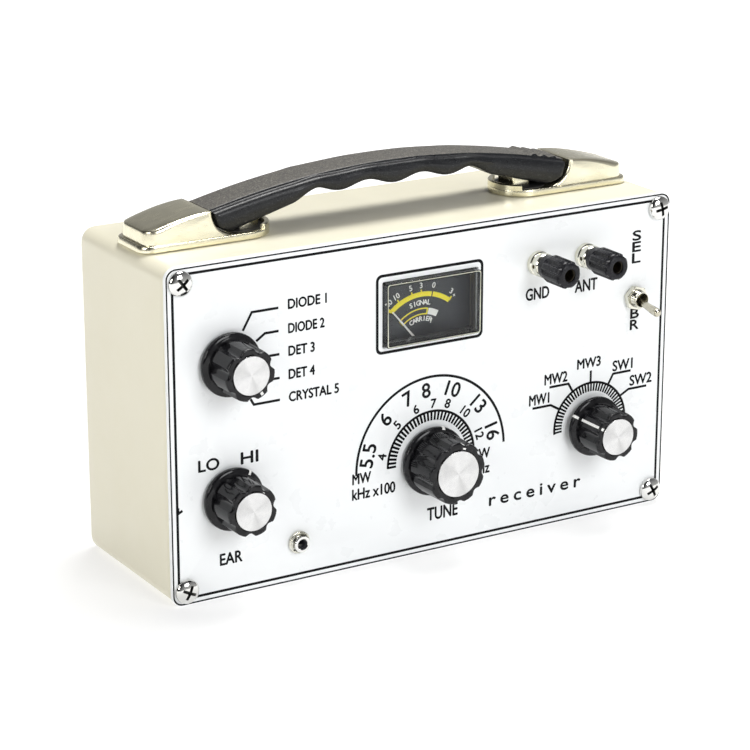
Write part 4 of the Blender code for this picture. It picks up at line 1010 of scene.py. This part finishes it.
ring_nut = turned([(3.2, 0.06), (3.75, 0.06), (3.98, 0.18), (3.98, 0.9), (3.72, 1.05), (3.5, 1.1), (3.46, 1.85), (3.3, 2.0), (3.15, 1.9)], 144, knurl(36, 0.16, 0.1, 1.0), closed=True)
jack_nut = build("jack_ring_nut", ring_nut, NUT_NICKEL, at(jx, 0, jz), FRONT, 30)
notches = [moved(box(2.9, 4.2, -0.45, 0.45, 1.35, 2.5), turn=Matrix.Rotation(math.radians(35 + 90 * k), 3, "Z")) for k in range(4)]
notch = build("jack_nut_notches", merged(*notches), NUT_NICKEL, at(jx, 0, jz), FRONT)
cut(jack_nut, notch, angle=30)
stand_for(jack_nut, "phone_jack_nut")
liner = [(1.0, -8.0), (1.72, -8.0), (1.72, 2.2), (1.62, 2.4), (1.5, 2.4), (1.4, 2.2), (1.4, -7.0), (1.0, -7.4)]
sleeve = build("jack_socket_liner", turned(liner, 32, closed=True), SWITCH, at(jx, 0, jz), FRONT, 35)
stand_for(sleeve, body="root", slot="switch_plastic")
spring = build("jack_contact_spring", box(-0.9, 0.9, -1.25, -0.95, -9.0, 0.6, 0.08), NUT_NICKEL, at(jx, 0, jz), FRONT, 35)
stand_for(spring, body="root", slot="nickel_plate")

# -------------------------------------------------------------- binding posts
for name, (x, z) in (("ground", ground), ("antenna", antenna)):
    path = [(2.5, 0.06), (4.2, 0.06), (4.4, 0.25), (4.4, 1.9), (4.2, 2.15), (3.95, 2.3), (3.95, 2.75), (4.15, 2.95), (4.3, 3.2), (4.3, 4.7), (4.0, 5.4), (3.5, 5.85), (2.8, 5.9), (2.5, 5.8)]
    collar = build(name + "_post_base", turned(path, 56, closed=True), COLLAR, at(x, 0, z), FRONT, 30)
    hole = build(name + "_wire_hole", moved(turned([(0, -6), (0.75, -6), (0.75, 6), (0, 6)], 20), 0, 0, 0, Matrix.Rotation(math.pi / 2, 3, "Y")), COLLAR, at(x, -3.9, z), FRONT)
    cut(collar, hole, angle=30)
    stand_for(collar, name + "_post_collar")
    sleeve = [(2.5, 6.8), (3.3, 6.8), (3.4, 6.9), (3.4, 18.9), (3.3, 19.0), (2.25, 19.0), (2.1, 18.85), (2.1, 11.8), (2.5, 11.8)]
    # The sleeve inside the cap is painted dark as painted shade of the deep bore.
    insert = build(name + "_post_sleeve", turned(sleeve, 40, closed=True), BORE_SHADE_BRASS, at(x, 0, z), FRONT, 35)
    stand_for(insert, name + "_post_insert", slot="brass")

    def grip_shape(a, r, h):
        if 9.1 < h < 19.3 and r > 4.4:
            part = (a / (2 * math.pi) * 8) % 1.0
            d = max(0.0, abs(part - 0.5) - 0.22) / 0.28
            end = min(1.0, (h - 9.1) / 0.6)
            return r - 0.72 * (1 - (1 - d) ** 2) * end
        return r

    cap = [(3.7, 6.4), (3.85, 6.3), (4.1, 6.3), (4.2, 6.4), (4.24, 7.6), (4.3, 8.9), (4.55, 9.05), (4.8, 9.2), (4.9, 9.45), (4.9, 10.4), (4.9, 13.0), (4.9, 16.0), (4.88, 18.3), (4.8, 18.75), (4.55, 19.1)]
    cap += [(4.3, 19.35), (4.05, 19.75), (3.75, 19.95), (3.45, 20.0), (2.7, 20.0), (2.35, 19.9), (2.2, 19.7), (2.2, 19.3), (3.7, 19.3)]
    knob = build(name + "_post_grip", turned(cap, 160, grip_shape, closed=True), POST_CAP, at(x, 0, z), FRONT, 32)
    stand_for(knob, name + "_post_cap")

# ------------------------------------------------------------------ the handle
grip_lo, grip_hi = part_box("handle_grip")
HX = ((grip_lo.x + grip_hi.x) / 2 - MID_X) / MM
HY = ((grip_lo.y + grip_hi.y) / 2 - FRONT_Y) / MM
END, BRACKET_W = 97.0, 23.0
ARC_U, ARC_Z, ARC_R = 62.8, 69.3, 8.5
TOP, DROP = (grip_hi.z - MID_Z) / MM, 9.0
PIN_U, PIN_Z, PIN_R, LIFT = 54.5, 65.8, 1.2, 2.0


def blend(low, high, x):
    t = min(1.0, max(0.0, (x - low) / (high - low)))
    return t * t * (3 - 2 * t)


def grip_top(u):
    return TOP - DROP * (u / 72.0) ** 2


def grip_bottom(u):
    a = abs(u)
    edge = 61.3 + (62.8 - a) * 0.27
    if a > 40.0:
        return edge
    middle = 70.9 + 1.15 * math.cos(2 * math.pi * (a - 10.75) / 21.5)
    if a < 28.0:
        return middle
    share = blend(28.0, 40.0, a)
    return (1 - share) * (70.9 + 1.15 * math.cos(2 * math.pi * (min(a, 32.25) - 10.75) / 21.5)) + share * edge


# Half section from the crown down one side: distance from the middle, and
# either a depth under the crown (mm) or a share of the height.
UPPER = (
    (0.0, 0.0), (1.8, 0.01), (3.6, 0.04), (5.2, 0.09), (6.4, 0.16), (6.95, 0.26), (7.15, 0.45), (7.3, 0.75), (7.55, 0.98), (7.9, 1.05),
    (8.4, 1.06), (8.75, 1.1), (9.1, 1.2), (9.45, 1.42), (9.8, 1.8), (10.1, 2.3), (10.3, 2.85),
)
LOWER = ((10.42, 0.58), (10.46, 0.5), (10.4, 0.42), (10.28, 0.34), (10.1, 0.26), (9.85, 0.18), (9.5, 0.11), (9.1, 0.055), (8.6, 0.018), (8.0, 0.0), (5.6, 0.0), (3.0, 0.0), (0.0, 0.0))
INLAY_ROWS = 5  # rows of faces either side of the middle that carry the inlay's finish


def section(top, bottom, squeeze, u):
    tall = math.dist(top, bottom)
    size = min(1.0, tall / 7.2)
    rib = 0.0
    for middle in (58.3, 62.5, 66.7):
        rib = max(rib, 0.95 * (1 - blend(0.6, 1.3, abs(u - middle))))
    half = []
    for y, depth in UPPER:
        if y < 7.2:
            depth = depth - rib * (1 - 0.2 * y / 7.2)
        half.append((y, 1 - depth * size / tall))
    upper_end = half[-1][1]
    for y, share in LOWER:
        half.append((y, min(share, upper_end - 0.02)))
    ring = []
    for y, f in half:
        ring.append((bottom[0] + (top[0] - bottom[0]) * f, y * squeeze, bottom[1] + (top[1] - bottom[1]) * f))
    full = ring + [(p[0], -p[1], p[2]) for p in reversed(ring[1:-1])]
    # Shallow moulded panel in the side, near the right-hand end.
    out = []
    for x, y, z in full:
        if abs(y) > 8.6:
            inside = blend(27.5, 28.1, x) * (1 - blend(40.4, 41.0, x)) * blend(68.4, 68.9, z) * (1 - blend(72.6 - 0.12 * max(0, x - 32), 73.1 - 0.12 * max(0, x - 32), z))
            y -= math.copysign(0.38 * inside, y)
        out.append((x, y, z))
    return out


nose_r = ARC_R - 0.5
columns = []
stations = 168
for k in range(stations + 1):
    u = -ARC_U + 2 * ARC_U * k / stations
    ut = u + math.copysign(nose_r * (abs(u) / ARC_U) ** 6, u)
    columns.append(((ut, grip_top(ut) if abs(ut) < 70.4 else ARC_Z - 0.05), (u, grip_bottom(u)), 1.0))


def nose(side):
    made = []
    for turn, squeeze in ((5, 1.0), (10, 0.998), (15, 0.99), (20, 0.98), (26, 0.965), (32, 0.94), (38, 0.90)):
        a, b = math.radians(turn), math.radians(90 - turn)
        made.append((
            (side * (ARC_U + nose_r * math.cos(a)), ARC_Z - nose_r * math.sin(a)),
            (side * (ARC_U + nose_r * math.cos(b)), ARC_Z - nose_r * math.sin(b)),
            squeeze,
        ))
    return made


columns = list(reversed(nose(-1))) + columns + nose(1)
rings = [section(t, b, s, t[0]) for t, b, s in columns]
bm = bmesh.new()
made = [[bm.verts.new(p) for p in ring] for ring in rings]
count = len(made[0])
for first, second in zip(made, made[1:]):
    for i in range(count):
        j = (i + 1) % count
        row = min(i, count - 1 - i)
        face = bm.faces.new((first[i], first[j], second[j], second[i]))
        face.material_index = 1 if row < INLAY_ROWS else 0
for ring in (made[0], made[-1]):
    bm.faces.new(ring)
grip = build("handle_strap_grip", bm, [GRIP, GRIP_TOP], at(HX, HY, 0), angle=48)


def strip(width, thick, along, drop, steps=30):
    out = []
    for k in range(steps + 1):
        u = -along + 2 * along * k / steps
        z = grip_top(u) - drop
        out.append([(u, -width / 2, z - thick / 2), (u, width / 2, z - thick / 2), (u, width / 2, z + thick / 2), (u, -width / 2, z + thick / 2)])
    return loft(out)


channel = build("grip_channel", strip(12.6, 1.8, 50.0, 2.8), GRIP, at(HX, HY, 0))
pockets = build("grip_pockets", merged(*[box(s * PIN_U - 4.6, s * PIN_U + 4.6, -5.4, 5.4, 55.0, 70.9) for s in (-1, 1)]), GRIP, at(HX, HY, 0))
pin_holes = build(
    "grip_pin_holes",
    merged(*[moved(turned([(0, -9.2), (PIN_R + 0.3, -9.2), (PIN_R + 0.3, 9.2), (0, 9.2)], 24), s * PIN_U, 0, PIN_Z, Matrix.Rotation(math.pi / 2, 3, "X")) for s in (-1, 1)]),
    GRIP, at(HX, HY, 0),
)
cut(grip, channel, pockets, pin_holes, angle=48)
stand_for(grip, "handle_grip")


def outline(inset, lean=0.0, u0=57.0):
    """Plan of a bracket's foot, from its round inner end to its square outer
    end, drawn in by inset."""
    points = []
    half = BRACKET_W / 2 - inset
    for k in range(25):
        a = math.radians(90.0 + 180.0 * k / 24)
        points.append((u0 + (11.2 - inset) * math.cos(a), half * math.sin(a)))
    r = 5.0
    for cy, start in ((-1, -90.0), (1, 0.0)):
        for k in range(9):
            a = math.radians(start + 90.0 * k / 8)
            points.append((END - inset - lean - r + r * math.cos(a), cy * (half - r) + r * math.sin(a)))
    return points


def make_bracket(node, s):
    foot_rings = []
    for inset, lean, z in ((0.25, 0.0, 58.3), (0.05, 0.0, 58.45), (0.0, 0.02, 58.7), (0.0, 0.38, 60.15), (0.08, 0.42, 60.4), (0.3, 0.44, 60.58), (0.6, 0.44, 60.62)):
        foot_rings.append([(s * u, y, z) for u, y in outline(inset, lean)])
    parts = [loft(foot_rings)]
    # Upper block, lofted across its width so that every edge is rounded over.
    half_w = BRACKET_W / 2 - 0.85
    stations = []
    for e in (0.0, 0.12, 0.35, 0.7, 1.0, 1.6, 2.4, 3.4, 4.4, 5.4, 7.5):
        stations.append(e)
    ys = [-half_w + e for e in stations] + [half_w - e for e in reversed(stations)]
    block = []
    for y in ys:
        e = half_w - abs(y)
        r_edge = 0.95
        i = r_edge - math.sqrt(max(0.0, r_edge ** 2 - max(0.0, r_edge - e) ** 2))
        c = 4.6 - math.sqrt(max(0.0, 4.6 ** 2 - max(0.0, 4.6 - e) ** 2))
        profile = [(ARC_U - 1.6 + i, 60.45)]
        for k in range(19):
            a = math.radians(90.0 - 90.0 * k / 18)
            rr = ARC_R + i
            profile.append((ARC_U + rr * math.cos(a), max(60.5, ARC_Z - rr * math.sin(a))))
        for k in range(13):
            q = k / 12
            u = ARC_U + ARC_R + 0.35 + i + (94.4 - c - (ARC_U + ARC_R + 0.35 + i)) * q
            z = 69.45 - 4.15 * q ** 1.7 - i * 0.95
            profile.append((u, z))
        profile += [(94.75 - c, 65.0 - i), (94.9 - c, 64.5 - i), (94.98 - c, 64.0 - i * 0.5), (95.22 - c, 62.0), (95.35 - c, 60.45)]
        block.append([(s * u, y, z) for u, z in profile])
    parts.append(loft(block))
    wall = []
    for z, grow in ((60.3, 0.0), (62.1, 0.0), (62.35, -0.2), (62.4, -0.4)):
        ring = []
        for r, order in ((11.2 + grow, range(13)), (9.6 - grow, range(12, -1, -1))):
            for k in order:
                a = math.radians(120.0 + 10.0 * k)
                ring.append((s * (57.0 + r * math.cos(a)), (r + 0.3) * math.sin(a), z))
        wall.append(ring)
    parts.append(loft(wall))
    body = build(node + "_casting", merged(*parts), NICKEL, at(HX, HY, 0), angle=38)
    stand_for(body, node)
    # Painted shadow: a dark disc on the tray floor stands in for the shade under the grip's hollow end.
    liner = [(s * 57.0 + 9.3 * math.cos(math.radians(a)), 9.3 * math.sin(math.radians(a))) for a in range(0, 360, 8)]
    shadow_pad = build(node + "_tray_painted_shadow", prism(liner, 60.5, 60.95), HOUSING, at(HX, HY, 0), angle=40)
    stand_for(shadow_pad, body="root", slot="grip_black")
    slot_line = rounded_rect(2 * (PIN_R + 0.3), 2 * (PIN_R + 0.3) + LIFT, PIN_R + 0.29, 6, s * PIN_U, PIN_Z + LIFT / 2)
    lug_line = rounded_rect(7.2, 10.0, 0.6, 4, s * PIN_U, 65.4)
    lug = plate(node + "_lug", [lug_line, slot_line], 9.2, 0.25, NICKEL, at(HX, HY - 4.6, 0))
    stand_for(lug, body="root", slot="nickel_plate")


make_bracket("handle_bracket_left", -1)
make_bracket("handle_bracket_right", 1)


# ------------------------------------------------------------------- the stage
def stage_material():
    mat = bpy.data.materials.new("stage_pale")
    mat.use_nodes = True
    tree = mat.node_tree
    shader = tree.nodes["Principled BSDF"]
    noise = tree.nodes.new("ShaderNodeTexNoise")
    noise.inputs["Scale"].default_value = 3.0
    ramp = tree.nodes.new("ShaderNodeValToRGB")
    ramp.color_ramp.elements[0].color = (0.46, 0.46, 0.46, 1)
    ramp.color_ramp.elements[1].color = (0.50, 0.50, 0.495, 1)
    tree.links.new(noise.outputs["Fac"], ramp.inputs["Fac"])
    tree.links.new(ramp.outputs["Color"], shader.inputs["Base Color"])
    shader.inputs["Roughness"].default_value = 0.85
    shader.inputs["Specular IOR Level"].default_value = 0.2
    shader.inputs["Emission Color"].default_value = (1, 1, 1, 1)
    # The floor glows: emission rises from 0.60 near the middle to 1.05 far out, so the floor is evenly pale far off and
    # carries painted shade around the set.
    where = tree.nodes.new("ShaderNodeTexCoord")
    far = tree.nodes.new("ShaderNodeVectorMath")
    far.operation = "LENGTH"
    tree.links.new(where.outputs["Object"], far.inputs[0])
    glow_with_painted_shade = tree.nodes.new("ShaderNodeMapRange")
    glow_with_painted_shade.inputs["From Min"].default_value = 0.15
    glow_with_painted_shade.inputs["From Max"].default_value = 0.9
    glow_with_painted_shade.inputs["To Min"].default_value = 0.60
    glow_with_painted_shade.inputs["To Max"].default_value = 1.05
    tree.links.new(far.outputs["Value"], glow_with_painted_shade.inputs["Value"])
    tree.links.new(glow_with_painted_shade.outputs["Result"], shader.inputs["Emission Strength"])
    return mat


floor_bm = bmesh.new()
bmesh.ops.create_circle(floor_bm, cap_ends=True, segments=96, radius=6.0)
floor_mesh = bpy.data.meshes.new("studio_floor")
floor_bm.to_mesh(floor_mesh)
floor_bm.free()
floor_mesh.materials.append(stage_material())
floor = bpy.data.objects.new("studio_floor", floor_mesh)
bpy.context.scene.collection.objects.link(floor)
floor.location = (0, 0, cad_box[0][2] - 0.0002)

scene = bpy.context.scene
world = bpy.data.worlds.new("studio")
scene.world = world
world.use_nodes = True
tree = world.node_tree
background = tree.nodes["Background"]
where = tree.nodes.new("ShaderNodeTexCoord")
split = tree.nodes.new("ShaderNodeSeparateXYZ")
ramp = tree.nodes.new("ShaderNodeValToRGB")
ramp.color_ramp.elements[0].position = 0.50
ramp.color_ramp.elements[0].color = (0.62, 0.62, 0.62, 1)
ramp.color_ramp.elements[1].position = 0.85
ramp.color_ramp.elements[1].color = (0.22, 0.22, 0.23, 1)
lift = tree.nodes.new("ShaderNodeMapRange")
lift.inputs["From Min"].default_value = -1.0
lift.inputs["From Max"].default_value = 1.0
tree.links.new(where.outputs["Generated"], split.inputs["Vector"])
tree.links.new(split.outputs["Z"], lift.inputs["Value"])
tree.links.new(lift.outputs["Result"], ramp.inputs["Fac"])
# The studio is dark to the left of the set.
flag = tree.nodes.new("ShaderNodeMapRange")
flag.interpolation_type = "SMOOTHSTEP"
flag.inputs["From Min"].default_value = -0.75
flag.inputs["From Max"].default_value = 0.15
flag.inputs["To Min"].default_value = 0.12
flag.inputs["To Max"].default_value = 1.0
tree.links.new(split.outputs["X"], flag.inputs["Value"])
shade = tree.nodes.new("ShaderNodeMix")
shade.data_type = "RGBA"
shade.inputs[6].default_value = (0, 0, 0, 1)
tree.links.new(flag.outputs["Result"], shade.inputs[0])
tree.links.new(ramp.outputs["Color"], shade.inputs[7])
tree.links.new(shade.outputs[2], background.inputs["Color"])
background.inputs["Strength"].default_value = 0.75


def area(name, position, target, size, power, colour=(1, 1, 1), size_y=None):
    light = bpy.data.lights.new(name, "AREA")
    light.shape = "RECTANGLE" if size_y else "SQUARE"
    light.size = size
    if size_y:
        light.size_y = size_y
    light.energy = power
    light.color = colour
    obj = bpy.data.objects.new(name, light)
    scene.collection.objects.link(obj)
    obj.location = position
    obj.rotation_euler = (Vector(target) - Vector(position)).to_track_quat("-Z", "Y").to_euler()
    return obj


area("overhead_softbox", (0.25, 0.15, 1.15), (0, 0, 0.08), 0.55, 13.5, (1, 0.995, 0.98))
area("front_softbox", (0.15, -1.25, 0.75), (0, 0, 0.05), 0.6, 9.0, (0.98, 0.99, 1.0))
area("left_softbox", (-1.1, -0.25, 0.55), (0, 0, 0.06), 0.45, 4.5, (1, 0.99, 0.96))

camera_data = bpy.data.cameras.new("camera")
camera = bpy.data.objects.new("camera", camera_data)
scene.collection.objects.link(camera)
camera_data.sensor_width = 36.0
camera_data.lens = 128.8
azimuth, elevation, distance = math.radians(-31.08), math.radians(17.84), 0.904
target = at(-22.0, 0.0, 10.1)
camera.location = target + distance * Vector((math.sin(azimuth) * math.cos(elevation), -math.cos(azimuth) * math.cos(elevation), math.sin(elevation)))
camera.rotation_euler = (target - camera.location).to_track_quat("-Z", "Y").to_euler()
camera_data.clip_start = 0.01
camera_data.clip_end = 50.0
scene.camera = camera
scene.view_settings.view_transform = "Standard"
